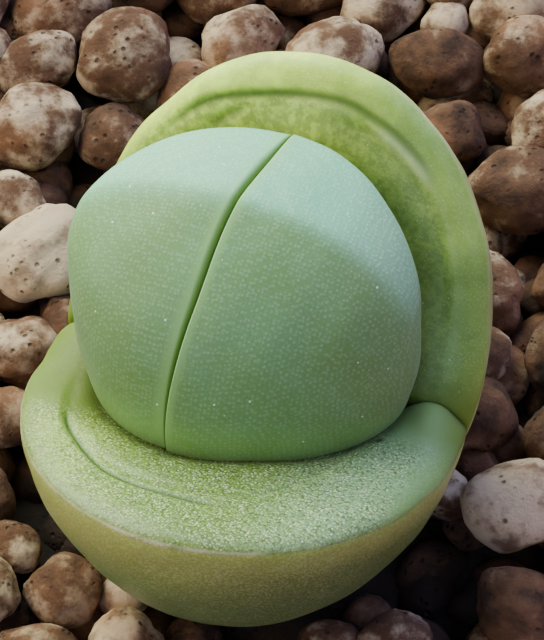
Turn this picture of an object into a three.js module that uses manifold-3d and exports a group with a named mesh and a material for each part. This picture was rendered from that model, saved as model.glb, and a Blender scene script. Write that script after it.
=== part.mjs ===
// Potted living stone, Argyroderma pearsonii: one plant with an old and a new leaf pair,
// set in gritty mix under a dressing of rounded stones, in a plain clay pot.
// Millimetres, +Z up. The origin is the centre of the pot's underside.
// The old cleft runs along X; the old leaves lie open to the front (-Y) and to the back (+Y).

import * as THREE from 'three';
import { mergeVertices } from 'three/addons/utils/BufferGeometryUtils.js';
import Module from 'manifold-3d';

const wasm = await Module();
wasm.setup();

// Gap kept between neighbouring pieces
const gap = 0.3;

// Pot
const potHeight = 75;
const potRimRadius = 50;
const potBandHeight = 17;
const potBandStep = 2.2;
const potBaseRadius = 36;
const potWall = 4.3;
const potFloor = 5;
const potEdge = 0.9;
const drainRadius = 4;
const potSides = 48;

// Fill of the pot: mix below, a bed of stones above
const mixTop = 57.5;
const bedTop = 66;
const fillGap = 0.5;
const fillSides = 40;

// Taproot and neck
const neckRadius = 4.4;
const neckTop = 68.3;
const rootLength = 34;
const rootSides = 16;

// Plant: the bottom of the old cleft lies on the pot's axis at this height
const cleftHeight = 75;

// Old leaf pair: each leaf is an oval face seen from above, with a deep rounded keel behind it
const leafHalfWidth = 13;
const leafHalfLength = 16;
const leafFaceCentre = 4.7;
const leafDepth = 15;
const leafKeelPower = 1.65;
const leafBaseShear = -0.24;
const frontFaceBulge = 0.55;
const backFaceBulge = 1.4;
const frontLeafTilt = THREE.MathUtils.degToRad(57.8);
const backLeafTilt = THREE.MathUtils.degToRad(43.7);
const leafSectors = 40;
const leafRings = 18;

// Print that the new pair has left on the faces of the old one: an oval, slightly sunk
const imprintPower = 2.4;
const frontImprint = { across: -1.5, along: 4, halfWidth: 9, halfLength: 12, sink: 0.25 };
const backImprint = { across: -0.6, along: 4, halfWidth: 11.5, halfLength: 14.2, sink: 0.8 };

// Swellings of the faces at the two ends of the old cleft
const frontLobes = [
  { across: 10.4, along: 1.2, halfWidth: 2.1, halfLength: 2.9, height: 1.75 },
  { across: -11, along: 1.4, halfWidth: 2.6, halfLength: 3.4, height: 1.3 },
];
const backLobes = [
  { across: 11.2, along: 1.5, halfWidth: 2.6, halfLength: 5, height: 0.5 },
  { across: -11.2, along: 1.5, halfWidth: 2.6, halfLength: 5, height: 0.6 },
];

// New leaf pair, measured from the cleft's bottom: each leaf is the rounded common part
// of its own front ellipsoid with the crown's and the flanks' ones (angles in degrees)
const pairHeart = new THREE.Vector3(-0.8, 0.8, 9.5);
const pairSharpness = 14;
const leftFront = { centre: [-2.24, 3.29, 4.52], radii: [16.11, 12.16, 10.63], yaw: 27.4, roll: 0, lean: 0 };
const rightFront = { centre: [-2.24, 3.29, 4.52], radii: [15.6, 12.16, 10.63], yaw: 36.8, roll: 0, lean: 0 };
const pairCrown = { centre: [0.2, -2.56, 6.34], radii: [12.29, 7.63, 27.47], yaw: 0, roll: -7.45, lean: -29.9 };
const pairFlanks = { centre: [-0.77, 0.7, 11.27], radii: [11.72, 10.71, 27.07], yaw: -28.2, roll: 0, lean: 0 };
const pairDetail = 6;
const socketGrowth = 0.42;
const socketOverlap = 0.1;

// New cleft: a thin slit across the new pair, turned a little from the old one
const newCleftTurn = THREE.MathUtils.degToRad(6.32);
const newCleftOffset = -1.9;
const newCleftWidth = 0.4;

// Stones of the dressing
const stoneSmallest = 3.4;
const stoneLargest = 7;
const stoneFlatness = 0.78;
const stoneCrowding = 0.86;
const stoneLift = 0.7;
const stonePlantMargin = 0.6;
const stoneKeelMargin = 1;
const scatterAttempts = 14000;
const scatterSeed = 4127;

// Stones round the plant: x, y, length, width, turn in degrees, lift above the usual seat
const shownStones = [
  [-25.6, 23.2, 5.6, 5, 20, 0.4],
  [-23.6, 18, 6.6, 5.6, 70, 0.6],
  [-19.6, 25.2, 7, 6, 60, 0.8],
  [-19.4, 8.6, 7.4, 6.4, 80, 1],
  [-18.4, 1.6, 5.2, 4.6, 0, 0.2],
  [-17.6, -3.2, 5, 4.4, 40, 0],
  [-17, -9.6, 5.4, 4.6, 100, 0],
  [-9.4, -13.6, 5, 4.6, 30, -0.2],
  [-14.4, -15.4, 5.6, 4.8, 150, 0.4],
  [-9.6, -18.8, 6, 4.8, 10, 0],
  [-4.4, -16.2, 5, 4.6, 60, 0.2],
  [1.6, -18.4, 5, 4.4, 20, -0.2],
  [7, -16.4, 5.2, 4.4, 0, -0.4],
  [15.8, -0.2, 7.2, 5.8, 15, 1],
  [18.2, -6.8, 6.2, 5.2, 160, 0.4],
  [11.4, -11.4, 4.8, 4.4, 50, -0.2],
  [17.2, 5.6, 5.8, 4.8, 30, 0.2],
  [15.2, 11.4, 5, 4.6, 90, -0.2],
  [14.2, 17, 5.4, 4.6, 60, 0],
  [9.4, 22.2, 6.8, 5.8, 10, 0.6],
  [3.2, 25.8, 5.4, 4.8, 45, 0],
  [0.8, 31, 6, 5, 0, 0.2],
  [6.4, 33, 6.2, 5.2, 30, 0.4],
];

// Deep gaps left open between stones beside the plant: x, y, radius
const openSpots = [
  [12.6, -5.8, 2.6],
  [-13.4, -7.4, 2.2],
  [-17.8, 14.2, 2.2],
  [14.6, 8.6, 1.4],
];

// Colours
const clayColour = 0xb06a4a;
const mixColour = 0x3c3026;
const stoneColour = 0x96785f;
const rootColour = 0x8b6d4c;
const oldLeafColour = 0x8fa667;
const newLeafColour = 0x86a88f;

// Solids from geometry, and geometry from solids

function mergedGeometry(geometry) {
  const bare = geometry.clone();
  bare.deleteAttribute('normal');
  bare.deleteAttribute('uv');
  return mergeVertices(bare);
}

function signedVolume(positions, index) {
  let volume = 0;
  const a = new THREE.Vector3();
  const b = new THREE.Vector3();
  const c = new THREE.Vector3();
  for (let i = 0; i < index.length; i += 3) {
    a.fromArray(positions, 3 * index[i]);
    b.fromArray(positions, 3 * index[i + 1]);
    c.fromArray(positions, 3 * index[i + 2]);
    volume += a.dot(b.cross(c)) / 6;
  }
  return volume;
}

function solidOf(geometry) {
  const merged = mergedGeometry(geometry);
  const vertProperties = new Float32Array(merged.getAttribute('position').array);
  const triVerts = new Uint32Array(merged.index.array);
  if (signedVolume(vertProperties, triVerts) < 0) {
    for (let i = 0; i < triVerts.length; i += 3) {
      const first = triVerts[i];
      triVerts[i] = triVerts[i + 2];
      triVerts[i + 2] = first;
    }
  }
  return new wasm.Manifold(new wasm.Mesh({ numProp: 3, vertProperties, triVerts }));
}

function largestPiece(solid) {
  const pieces = solid.decompose();
  return pieces.reduce((best, piece) => (piece.volume() > best.volume() ? piece : best));
}

function geometryOf(solid) {
  const mesh = solid.getMesh();
  const geometry = new THREE.BufferGeometry();
  geometry.setAttribute('position', new THREE.BufferAttribute(new Float32Array(mesh.vertProperties), 3));
  geometry.setIndex(new THREE.BufferAttribute(new Uint32Array(mesh.triVerts), 1));
  geometry.computeVertexNormals();
  return geometry;
}

// Moves every vertex of a unit ball to the point that the rule gives for its direction
function shapedBall(ball, placePoint) {
  const geometry = mergedGeometry(ball);
  const position = geometry.getAttribute('position');
  const direction = new THREE.Vector3();
  for (let i = 0; i < position.count; i += 1) {
    direction.fromBufferAttribute(position, i).normalize();
    const point = placePoint(direction);
    position.setXYZ(i, point.x, point.y, point.z);
  }
  return solidOf(geometry);
}

function latheSolid(profile, sides) {
  const points = profile.map(([radius, height]) => new THREE.Vector2(radius, height));
  const geometry = new THREE.LatheGeometry(points, sides);
  geometry.rotateX(Math.PI / 2);
  return solidOf(geometry);
}

function boxSolid(size, centre) {
  const geometry = new THREE.BoxGeometry(...size);
  geometry.translate(...centre);
  return solidOf(geometry);
}

function namedMesh(name, solid, colour, roughness) {
  const material = new THREE.MeshStandardMaterial({ color: colour, roughness, metalness: 0 });
  const mesh = new THREE.Mesh(geometryOf(solid), material);
  mesh.name = name;
  return mesh;
}

// Pot

function potInnerRadius(height) {
  const top = potRimRadius - potWall;
  const bottom = potBaseRadius - potWall + 1.5;
  return bottom + ((top - bottom) * (height - potFloor)) / (potHeight - potFloor);
}

function potSolid() {
  const bandBottom = potHeight - potBandHeight;
  const bandRadius = potRimRadius - 1;
  const neck = bandRadius - potBandStep;
  return latheSolid([
    [drainRadius, 0],
    [potBaseRadius - potEdge, 0],
    [potBaseRadius, potEdge],
    [neck, bandBottom],
    [bandRadius - potEdge, bandBottom],
    [bandRadius, bandBottom + potEdge],
    [potRimRadius, potHeight - potEdge],
    [potRimRadius - potEdge, potHeight],
    [potRimRadius - potWall + potEdge, potHeight],
    [potRimRadius - potWall, potHeight - potEdge],
    [potInnerRadius(potFloor), potFloor],
    [drainRadius, potFloor],
    [drainRadius, 0],
  ], potSides);
}

// Taproot, and the plain hole that it stands in

function rootSolid(growth) {
  const tip = neckTop - rootLength;
  return latheSolid([
    [0, tip - growth],
    [0.9 + growth, tip - growth],
    [1.5 + growth, tip + 0.3 * rootLength],
    [2.4 + growth, tip + 0.6 * rootLength],
    [neckRadius + growth, tip + 0.84 * rootLength],
    [neckRadius + growth, neckTop - 0.8 + growth],
    [neckRadius - 0.8 + growth, neckTop + growth],
    [0, neckTop + growth],
  ], rootSides);
}

// Potting mix

function mixSolid() {
  const bottom = potFloor + gap;
  const disc = latheSolid([
    [0, bottom],
    [potInnerRadius(bottom) - fillGap, bottom],
    [potInnerRadius(mixTop) - fillGap, mixTop],
    [0, mixTop],
  ], fillSides);
  return disc.subtract(rootSolid(gap));
}

// Old leaves

function leafPlace(side, across, along, depth) {
  const tilt = side < 0 ? frontLeafTilt : backLeafTilt;
  const slope = along + leafBaseShear * Math.max(depth, 0);
  return new THREE.Vector3(
    across,
    side * (slope * Math.sin(tilt) + depth * Math.cos(tilt)),
    cleftHeight + slope * Math.cos(tilt) - depth * Math.sin(tilt),
  );
}

function imprintSunk(side, across, along) {
  const oval = side < 0 ? frontImprint : backImprint;
  const u = Math.abs((across - oval.across) / oval.halfWidth) ** imprintPower;
  const v = Math.abs((along - oval.along) / oval.halfLength) ** imprintPower;
  return oval.sink * (1 - THREE.MathUtils.smoothstep(u + v, 0.75, 1.1));
}

function lobeHeight(side, across, along) {
  const lobes = side < 0 ? frontLobes : backLobes;
  return lobes.reduce((sum, lobe) => {
    const u = (across - lobe.across) / lobe.halfWidth;
    const v = (along - lobe.along) / lobe.halfLength;
    return sum + lobe.height * Math.exp(-u * u - v * v);
  }, 0);
}

function faceHeight(side, across, along, rim) {
  const bulge = (side < 0 ? frontFaceBulge : backFaceBulge) * (1 - rim ** 4) ** 0.6;
  const lobe = lobeHeight(side, across, along) * (1 - rim ** 3) ** 0.5;
  return bulge + lobe - imprintSunk(side, across, along) * (1 - rim ** 8);
}

function keelDepth(rim) {
  return (1 - rim ** leafKeelPower) ** (1 / leafKeelPower);
}

function oldLeafSolid(side, growth) {
  const ball = new THREE.SphereGeometry(1, leafSectors, leafRings);
  return shapedBall(ball, (direction) => {
    const rim = Math.min(Math.hypot(direction.x, direction.z), 1);
    const across = (leafHalfWidth + growth) * direction.x;
    const along = leafFaceCentre + (leafHalfLength + growth) * direction.z;
    const depth = direction.y > 0
      ? (leafDepth + growth) * keelDepth(rim)
      : -faceHeight(side, across, along, rim) - growth * (1 - rim ** 4);
    return leafPlace(side, across, along, depth);
  });
}

function insideOldLeaf(side, x, y, z, margin) {
  const tilt = side < 0 ? frontLeafTilt : backLeafTilt;
  const out = side * y;
  const up = z - cleftHeight;
  const depth = out * Math.cos(tilt) - up * Math.sin(tilt);
  const along = out * Math.sin(tilt) + up * Math.cos(tilt) - leafBaseShear * Math.max(depth, 0);
  const rim = Math.hypot(x / (leafHalfWidth + margin), (along - leafFaceCentre) / (leafHalfLength + margin));
  return rim < 1 && depth > -margin && depth < (leafDepth + margin) * keelDepth(rim);
}

function halfSpaceSolid(side) {
  const reach = 60;
  return boxSolid([2 * reach, reach, 2 * reach], [0, side * (gap / 2 + reach / 2), cleftHeight]);
}

// New leaves

function exitDistance(direction, body) {
  const yaw = THREE.MathUtils.degToRad(body.yaw);
  const roll = THREE.MathUtils.degToRad(body.roll);
  const lean = THREE.MathUtils.degToRad(body.lean);
  const turned = (v) => {
    const across = v.x * Math.cos(yaw) + v.y * Math.sin(yaw);
    const y = -v.x * Math.sin(yaw) + v.y * Math.cos(yaw);
    const x = across * Math.cos(roll) - v.z * Math.sin(roll);
    const z = across * Math.sin(roll) + v.z * Math.cos(roll);
    return new THREE.Vector3(
      x / body.radii[0],
      (y * Math.cos(lean) + z * Math.sin(lean)) / body.radii[1],
      (-y * Math.sin(lean) + z * Math.cos(lean)) / body.radii[2],
    );
  };
  const start = turned(pairHeart.clone().sub(new THREE.Vector3(...body.centre)));
  const step = turned(direction);
  const a = step.dot(step);
  const b = step.dot(start);
  const c = start.dot(start) - 1;
  return (-b + Math.sqrt(b * b - a * c)) / a;
}

function pairRadius(side, direction) {
  const sum = [side < 0 ? leftFront : rightFront, pairCrown, pairFlanks]
    .map((body) => exitDistance(direction, body) ** -pairSharpness)
    .reduce((total, term) => total + term);
  return sum ** (-1 / pairSharpness);
}

function besideNewCleft(side, distance) {
  const reach = 60;
  const slab = new THREE.BoxGeometry(reach, 2 * reach, 2 * reach);
  slab.translate(newCleftOffset + side * (distance + reach / 2), 0, cleftHeight);
  slab.rotateZ(-newCleftTurn);
  return solidOf(slab);
}

function newLeafSolid(side, growth, distance) {
  const ball = new THREE.IcosahedronGeometry(1, pairDetail);
  const whole = shapedBall(ball, (direction) => {
    const point = direction.clone().multiplyScalar(pairRadius(side, direction) + growth).add(pairHeart);
    point.z += cleftHeight;
    return point;
  });
  return whole.intersect(besideNewCleft(side, distance));
}

// Stones, the same every time: a seeded draw fills the bed round the stones placed by hand

let drawState = scatterSeed;

function draw() {
  drawState = (drawState * 16807) % 2147483647;
  return drawState / 2147483647;
}

function stoneFits(stone, stones) {
  const radius = (stone.length + stone.width) / 4;
  const wall = potInnerRadius(bedTop) - fillGap - 0.58 * stone.length;
  if (Math.hypot(stone.x, stone.y) > wall) return false;
  const crowded = stones.some((other) => {
    const reach = stoneCrowding * (radius + (other.length + other.width) / 4);
    return Math.hypot(stone.x - other.x, stone.y - other.y) < reach;
  });
  if (crowded) return false;
  const bare = openSpots.some(([x, y, size]) => Math.hypot(stone.x - x, stone.y - y) < size + radius);
  if (bare) return false;
  const height = bedTop + stoneLift + stone.lift;
  for (let k = 0; k < 8; k += 1) {
    const x = stone.x + radius * Math.cos((k * Math.PI) / 4);
    const y = stone.y + radius * Math.sin((k * Math.PI) / 4);
    if (insideOldLeaf(-1, x, y, height, stonePlantMargin)) return false;
    if (insideOldLeaf(1, x, y, height, stonePlantMargin)) return false;
  }
  return ![-1, 1].some((side) => insideOldLeaf(side, stone.x, stone.y, height, stoneKeelMargin));
}

function scatteredStones() {
  const stones = shownStones.map(([x, y, length, width, turn, lift]) => ({ x, y, length, width, turn, lift }));
  for (let attempt = 0; attempt < scatterAttempts; attempt += 1) {
    const radius = potInnerRadius(bedTop) * Math.sqrt(draw());
    const angle = 2 * Math.PI * draw();
    const length = stoneLargest - (stoneLargest - stoneSmallest) * (attempt / scatterAttempts) ** 0.5;
    const width = length * (0.76 + 0.2 * draw());
    const turn = 180 * draw();
    const lift = 1.4 * draw() - 0.7;
    const stone = { x: radius * Math.cos(angle), y: radius * Math.sin(angle), length, width, turn, lift };
    if (stoneFits(stone, stones)) stones.push(stone);
  }
  return stones;
}

function stoneSolid(stone) {
  const height = stoneFlatness * (stone.length + stone.width) / 2;
  const ball = new THREE.IcosahedronGeometry(1, 0);
  const turn = THREE.MathUtils.degToRad(stone.turn);
  return shapedBall(ball, (direction) => {
    const swell = 0.96 + 0.16 * draw();
    const u = (direction.x * stone.length * swell) / 2;
    const v = (direction.y * stone.width * swell) / 2;
    return new THREE.Vector3(
      stone.x + u * Math.cos(turn) - v * Math.sin(turn),
      stone.y + u * Math.sin(turn) + v * Math.cos(turn),
      bedTop + stoneLift + stone.lift + (direction.z * height * swell) / 2,
    );
  });
}

function dressingSolid() {
  const bottom = mixTop + gap;
  const bed = latheSolid([
    [0, bottom],
    [potInnerRadius(bottom) - fillGap, bottom],
    [potInnerRadius(bedTop) - fillGap, bedTop],
    [0, bedTop],
  ], fillSides);
  const filled = scatteredStones().reduce((sum, stone) => sum.add(stoneSolid(stone)), bed);
  const cleared = filled
    .subtract(oldLeafSolid(-1, gap + 0.1))
    .subtract(oldLeafSolid(1, gap + 0.1))
    .subtract(rootSolid(gap));
  return largestPiece(cleared);
}

// Assembly

function oldLeaf(side) {
  const leaf = oldLeafSolid(side, 0)
    .intersect(halfSpaceSolid(side))
    .subtract(newLeafSolid(-1, socketGrowth, -socketOverlap))
    .subtract(newLeafSolid(1, socketGrowth, -socketOverlap))
    .subtract(rootSolid(gap));
  return largestPiece(leaf);
}

function newLeaf(side) {
  return largestPiece(newLeafSolid(side, 0, newCleftWidth / 2));
}

const plant = new THREE.Group();
plant.add(
  namedMesh('root_and_stem', rootSolid(0), rootColour, 0.9),
  namedMesh('outer_leaf_front', oldLeaf(-1), oldLeafColour, 0.55),
  namedMesh('outer_leaf_back', oldLeaf(1), oldLeafColour, 0.55),
  namedMesh('inner_leaf_left', newLeaf(-1), newLeafColour, 0.6),
  namedMesh('inner_leaf_right', newLeaf(1), newLeafColour, 0.6),
);

const pottedPlant = new THREE.Group();
pottedPlant.add(
  namedMesh('pot', potSolid(), clayColour, 0.85),
  namedMesh('potting_mix', mixSolid(), mixColour, 0.95),
  namedMesh('grit_top_dressing', dressingSolid(), stoneColour, 0.9),
  plant,
);

export default pottedPlant;
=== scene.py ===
import math
from collections import namedtuple

import bmesh
import bpy
import numpy as np
from bpy.props import FloatProperty, FloatVectorProperty, IntProperty, PointerProperty
from mathutils import Matrix, Vector


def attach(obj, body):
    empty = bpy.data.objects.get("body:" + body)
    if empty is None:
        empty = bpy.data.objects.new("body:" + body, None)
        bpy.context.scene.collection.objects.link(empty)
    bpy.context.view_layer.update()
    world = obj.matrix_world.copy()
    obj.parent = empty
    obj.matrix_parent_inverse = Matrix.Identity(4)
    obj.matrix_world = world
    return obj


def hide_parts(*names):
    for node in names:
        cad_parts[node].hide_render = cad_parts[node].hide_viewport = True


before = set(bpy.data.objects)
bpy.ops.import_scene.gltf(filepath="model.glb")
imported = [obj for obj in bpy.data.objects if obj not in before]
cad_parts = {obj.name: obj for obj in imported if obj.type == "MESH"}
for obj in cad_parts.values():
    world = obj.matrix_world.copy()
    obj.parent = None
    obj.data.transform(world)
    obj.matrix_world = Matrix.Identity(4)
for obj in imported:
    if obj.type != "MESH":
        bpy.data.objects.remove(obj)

bl_info = {
    "name": "Potted Living Stone",
    "version": (1, 0, 0),
    "blender": (4, 5, 0),
    "location": "3D View > Sidebar > Living Stone",
    "description": "Dresses the solids of a potted living stone with fine leaves, stones and clay",
    "category": "Object",
}

MM = 0.001

# Stones round the plant, in millimetres: x, y, length, width, turn in degrees, lift, and how pale each is;
# the paleness is partly each stone's own tone and partly painted light, as on the stone at 15.8, -0.2,
# painted paler as if lit
SHOWN_STONES = (
    (-25.6, 23.2, 5.6, 5, 20, 0.4, 0.6),
    (-23.6, 18, 6.6, 5.6, 70, 0.6, 0.7),
    (-19.6, 25.2, 7, 6, 60, 0.8, 0.5),
    (-19.4, 8.6, 7.4, 6.4, 80, 1, 0.95),
    (-18.4, 1.6, 5.2, 4.6, 0, 0.2, 0.6),
    (-17.6, -3.2, 5, 4.4, 40, 0, 0.5),
    (-17, -9.6, 5.4, 4.6, 100, 0, 0.3),
    (-9.4, -13.6, 5, 4.6, 30, -0.2, 0.45),
    (-14.4, -15.4, 5.6, 4.8, 150, 0.4, 0.75),
    (-9.6, -18.8, 6, 4.8, 10, 0, 0.45),
    (-4.4, -16.2, 5, 4.6, 60, 0.2, 0.75),
    (1.6, -18.4, 5, 4.4, 20, -0.2, 0.45),
    (7, -16.4, 5.2, 4.4, 0, -0.4, 0.4),
    (15.8, -0.2, 7.2, 5.8, 15, 1, 0.85),
    (18.2, -6.8, 6.2, 5.2, 160, 0.4, 0.3),
    (11.4, -11.4, 4.8, 4.4, 50, -0.2, 0.5),
    (17.2, 5.6, 5.8, 4.8, 30, 0.2, 0.35),
    (15.2, 11.4, 5, 4.6, 90, -0.2, 0.3),
    (14.2, 17, 5.4, 4.6, 60, 0, 0.3),
    (9.4, 22.2, 6.8, 5.8, 10, 0.6, 0.4),
    (3.2, 25.8, 5.4, 4.8, 45, 0, 0.3),
    (0.8, 31, 6, 5, 0, 0.2, 0.35),
    (6.4, 33, 6.2, 5.2, 30, 0.4, 0.5),
)

# Deep gaps left open between stones beside the plant, in millimetres: x, y, radius
OPEN_SPOTS = (
    (12.6, -5.8, 2.6),
    (-13.4, -7.4, 2.2),
    (-17.8, 14.2, 2.2),
    (14.6, 8.6, 1.4),
)


# Sizes and colours that a user would change

def length(name, description, default):
    return FloatProperty(name=name, description=description, default=default, precision=5, unit="LENGTH")


def angle(name, description, degrees):
    return FloatProperty(name=name, description=description, default=math.radians(degrees), subtype="ANGLE")


def number(name, description, default):
    return FloatProperty(name=name, description=description, default=default, precision=3)


def place(name, description, default):
    return FloatVectorProperty(name=name, description=description, default=default, precision=5,
                               subtype="TRANSLATION", unit="LENGTH")


def colour(name, description, red, green, blue):
    linear = tuple(((c / 255 + 0.055) / 1.055) ** 2.4 for c in (red, green, blue))
    return FloatVectorProperty(name=name, description=description, default=linear, min=0, max=1,
                               subtype="COLOR")


class OldLeafSettings(bpy.types.PropertyGroup):
    cleft_height: length("Cleft height", "Height of the old cleft's bottom over the ground", 0.075)
    half_width: length("Half width", "Half the width of a leaf's oval face", 0.013)
    half_length: length("Half length", "Half the length of the whole oval face", 0.016)
    face_centre: length("Face centre", "From the cleft's bottom to the oval's centre", 0.0047)
    depth: length("Depth", "How deep the keel is behind the face", 0.015)
    keel_power: number("Keel power", "Two gives a round keel, less a narrower one", 1.65)
    base_shear: number("Base shear", "How far the keel leans towards the leaf's base", -0.24)
    front_bulge: length("Front bulge", "How far the front leaf's face stands over its rim", 0.00075)
    back_bulge: length("Back bulge", "How far the back leaf's face stands over its rim", 0.0017)
    front_shoulder: length("Front shoulder", "Width of the front face's rounded edge", 0.0022)
    back_shoulder: length("Back shoulder", "Width of the back face's rounded edge", 0.0023)
    front_tilt: angle("Front tilt", "Lean of the front leaf's face from upright", 57.8)
    back_tilt: angle("Back tilt", "Lean of the back leaf's face from upright", 43.7)
    front_sink: length("Front print", "How far the new pair's print is sunk in the front leaf", 0.00025)
    back_sink: length("Back print", "How far the new pair's print is sunk in the back leaf", 0.0003)
    groove_depth: length("Groove depth", "Depth of the lines round the print", 0.00026)
    seam: length("Seam", "Half the gap between the two leaves", 0.00015)
    trough_depth: length("Trough depth", "How far the front face dips where the new pair stands", 0.0006)
    trough_width: length("Trough width", "How far from the new pair that dip reaches", 0.0009)
    socket_gap: length("Socket gap", "Room between the new pair and the old leaves", -0.00004)
    face_colour: colour("Face colour", "Flesh of the faces", 110, 138, 54)
    back_colour: colour("Back face colour", "Flesh of the back leaf's face", 142, 171, 77)
    # Painted light: paler colour where light falls most, on the back leaf's top and the left of the front
    # face
    painted_sunlight_colour: colour("Sunny colour", "Pale thin top of the back leaf", 214, 240, 98)
    granule_colour: colour("Granule colour", "Pale granules on the faces", 216, 230, 180)
    keel_colour: colour("Keel colour", "Skin of the outer sides", 98, 134, 74)
    shoulder_colour: colour("Shoulder colour", "Skin of the outer sides next to the rim", 160, 166, 88)
    lobe_colour: colour("Lobe colour", "Smooth swellings at the ends of the old cleft", 100, 124, 36)
    rim_colour: colour("Rim colour", "Dry line along the rim", 200, 184, 166)
    # Painted light: the bluish light that the right end of the faces catches
    painted_bluish_light_colour: colour("Cool colour", "Bluish bloom at the right end", 150, 196, 164)
    # Painted shade: the outer side darker at its right end
    shade_colour: colour("Shade colour", "Outer side at the right end", 50, 90, 42)
    speck_colour: colour("Speck colour", "Dark specks between the granules", 74, 84, 22)
    groove_colour: colour("Groove colour", "Bottom of the line round the print", 88, 118, 36)
    line_colour: colour("Line colour", "Dark bottom of the front face's line", 62, 98, 16)
    edge_colour: colour("Edge colour", "Skin of the faces where they round over to the rim", 102, 122, 50)
    # Painted shade: the faces darker next to the new pair
    painted_contact_shade_colour: colour("Contact colour", "Skin of the faces next to the new pair", 82, 88, 32)


class NewPairSettings(bpy.types.PropertyGroup):
    heart: place("Heart", "Point inside the pair, from the cleft's bottom", (-0.0008, 0.0008, 0.0095))
    sharpness: number("Sharpness", "Higher gives crisper corners where the bodies meet", 14.0)
    left_ridge: place("Left ridge", "Direction square to the left ridge's plane",
                      (0.0365, 0.8875, -0.4593))
    left_ridge_offset: length("Left ridge offset", "Place of the left ridge's plane", -0.00456)
    right_ridge: place("Right ridge", "Direction square to the right ridge's plane",
                       (-0.0431, 0.9148, -0.4016))
    right_ridge_offset: length("Right ridge offset", "Place of the right ridge's plane", -0.00353)
    ridge_rise: length("Ridge rise", "How far the ridge below the crown stands out", 0.0004)
    ridge_softness: length("Ridge softness", "Rounding of the ridge", 0.0003)
    crown_reach: length("Crown reach", "How far the ridge's rise reaches up the crown", 0.0034)
    front_reach: length("Front reach", "How far the ridge's rise reaches down the front", 0.0055)
    front_centre: place("Front centre", "Centre of the front ellipsoids", (-0.00224, 0.00329, 0.00452))
    left_radii: place("Left radii", "Radii of the left leaf's front ellipsoid", (0.0158, 0.01216, 0.01063))
    left_yaw: angle("Left yaw", "Turn of the left leaf's front about Z", 27.4)
    right_radii: place("Right radii", "Radii of the right leaf's front ellipsoid",
                       (0.01582, 0.01216, 0.01063))
    right_yaw: angle("Right yaw", "Turn of the right leaf's front about Z", 36.8)
    crown_centre: place("Crown centre", "Centre of the crown's ellipsoid", (0.0002, -0.00256, 0.00634))
    crown_radii: place("Crown radii", "Radii of the crown's ellipsoid", (0.01176, 0.00763, 0.02747))
    crown_lean: angle("Crown lean", "Turn of the crown's ellipsoid about X", -29.9)
    crown_roll: angle("Crown roll", "Turn of the crown's ellipsoid about Y", -7.45)
    flank_centre: place("Flank centre", "Centre of the flanks' ellipsoid", (-0.00077, 0.0007, 0.01127))
    flank_radii: place("Flank radii", "Radii of the flanks' ellipsoid", (0.01172, 0.01071, 0.02707))
    flank_yaw: angle("Flank yaw", "Turn of the flanks' ellipsoid about Z", -28.2)
    cleft_turn: angle("Cleft turn", "Turn of the new cleft from the old cleft's normal", 6.32)
    cleft_offset: length("Cleft offset", "How far the cleft lies from the axis", -0.00176)
    cleft_width: length("Cleft width", "Gap between the two new leaves", 0.00012)
    left_margin: length("Left margin", "Rounding of the left leaf's edge at the cleft", 0.00056)
    right_margin: length("Right margin", "Rounding of the right leaf's edge at the cleft", 0.00012)
    flesh_colour: colour("Flesh colour", "Green of the lower sides", 104, 132, 63)
    # Laid partly as the skin's waxy bloom and partly as painted light on the faces that look up
    bloom_colour: colour("Bloom colour", "Waxy bloom of the upper sides", 118, 194, 156)
    # Partly a greener flesh, partly painted light that lightens the foot against the shade over the front
    # leaf
    foot_green_and_painted_light_colour: colour("Foot colour", "Fresh green flesh at the foot, over the front leaf", 122, 164, 70)
    far_colour: colour("Far bloom colour", "Greyer bloom at the crown's right end", 134, 178, 140)
    dot_colour: colour("Dot colour", "Fine pale dots", 206, 228, 202)
    band_colour: colour("Band colour", "Smooth pale band along the cleft", 150, 192, 116)
    cleft_colour: colour("Cleft colour", "Green of the walls in the cleft", 98, 134, 42)


class DressingSettings(bpy.types.PropertyGroup):
    bed_bottom: length("Bed bottom", "Underside of the stones' bed", 0.0578)
    bed_top: length("Bed top", "Height of the bed that the stones lie in", 0.066)
    smallest: length("Smallest stone", "Length of the smallest stone", 0.0034)
    largest: length("Largest stone", "Length of the largest stone", 0.007)
    flatness: number("Flatness", "Height of a stone against its length", 0.78)
    crowding: number("Crowding", "Distance between stones against their radii", 0.86)
    lift: length("Lift", "How far the stones' middles lie over the bed", 0.0007)
    plant_margin: length("Plant margin", "Room between stones and leaves", 0.0006)
    fill_gap: length("Wall gap", "Room between the fill and the pot's wall", 0.0005)
    keel_margin: length("Keel margin", "Room between a stone's middle and a leaf's outer side", 0.001)
    attempts: IntProperty(name="Attempts", description="Draws made to fill the bed", default=14000, min=1)
    seed: IntProperty(name="Seed", description="Start of the seeded draw", default=4127, min=1)
    pale_colour: colour("Pale stone", "Palest stones and dusty tops", 204, 178, 148)
    mid_colour: colour("Middle stone", "Most of the stones", 92, 62, 44)
    dark_colour: colour("Dark stone", "Darkest stones and pits", 44, 30, 22)


class PotSettings(bpy.types.PropertyGroup):
    height: length("Height", "Height of the pot", 0.075)
    rim_radius: length("Rim radius", "Outer radius at the rim", 0.05)
    base_radius: length("Base radius", "Outer radius at the base", 0.036)
    wall: length("Wall", "Thickness of the wall", 0.0043)
    floor: length("Floor", "Thickness of the floor", 0.005)
    band_height: length("Band height", "Height of the rim's band", 0.017)
    band_step: length("Band step", "How far the band stands out", 0.0022)
    edge: length("Edge", "Rounding of the edges", 0.0009)
    drain_radius: length("Drain radius", "Radius of the hole in the floor", 0.004)
    clay_colour: colour("Clay colour", "Fired clay", 182, 104, 68)
    lime_colour: colour("Lime colour", "Pale lime bloom on the clay", 214, 176, 150)


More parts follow.
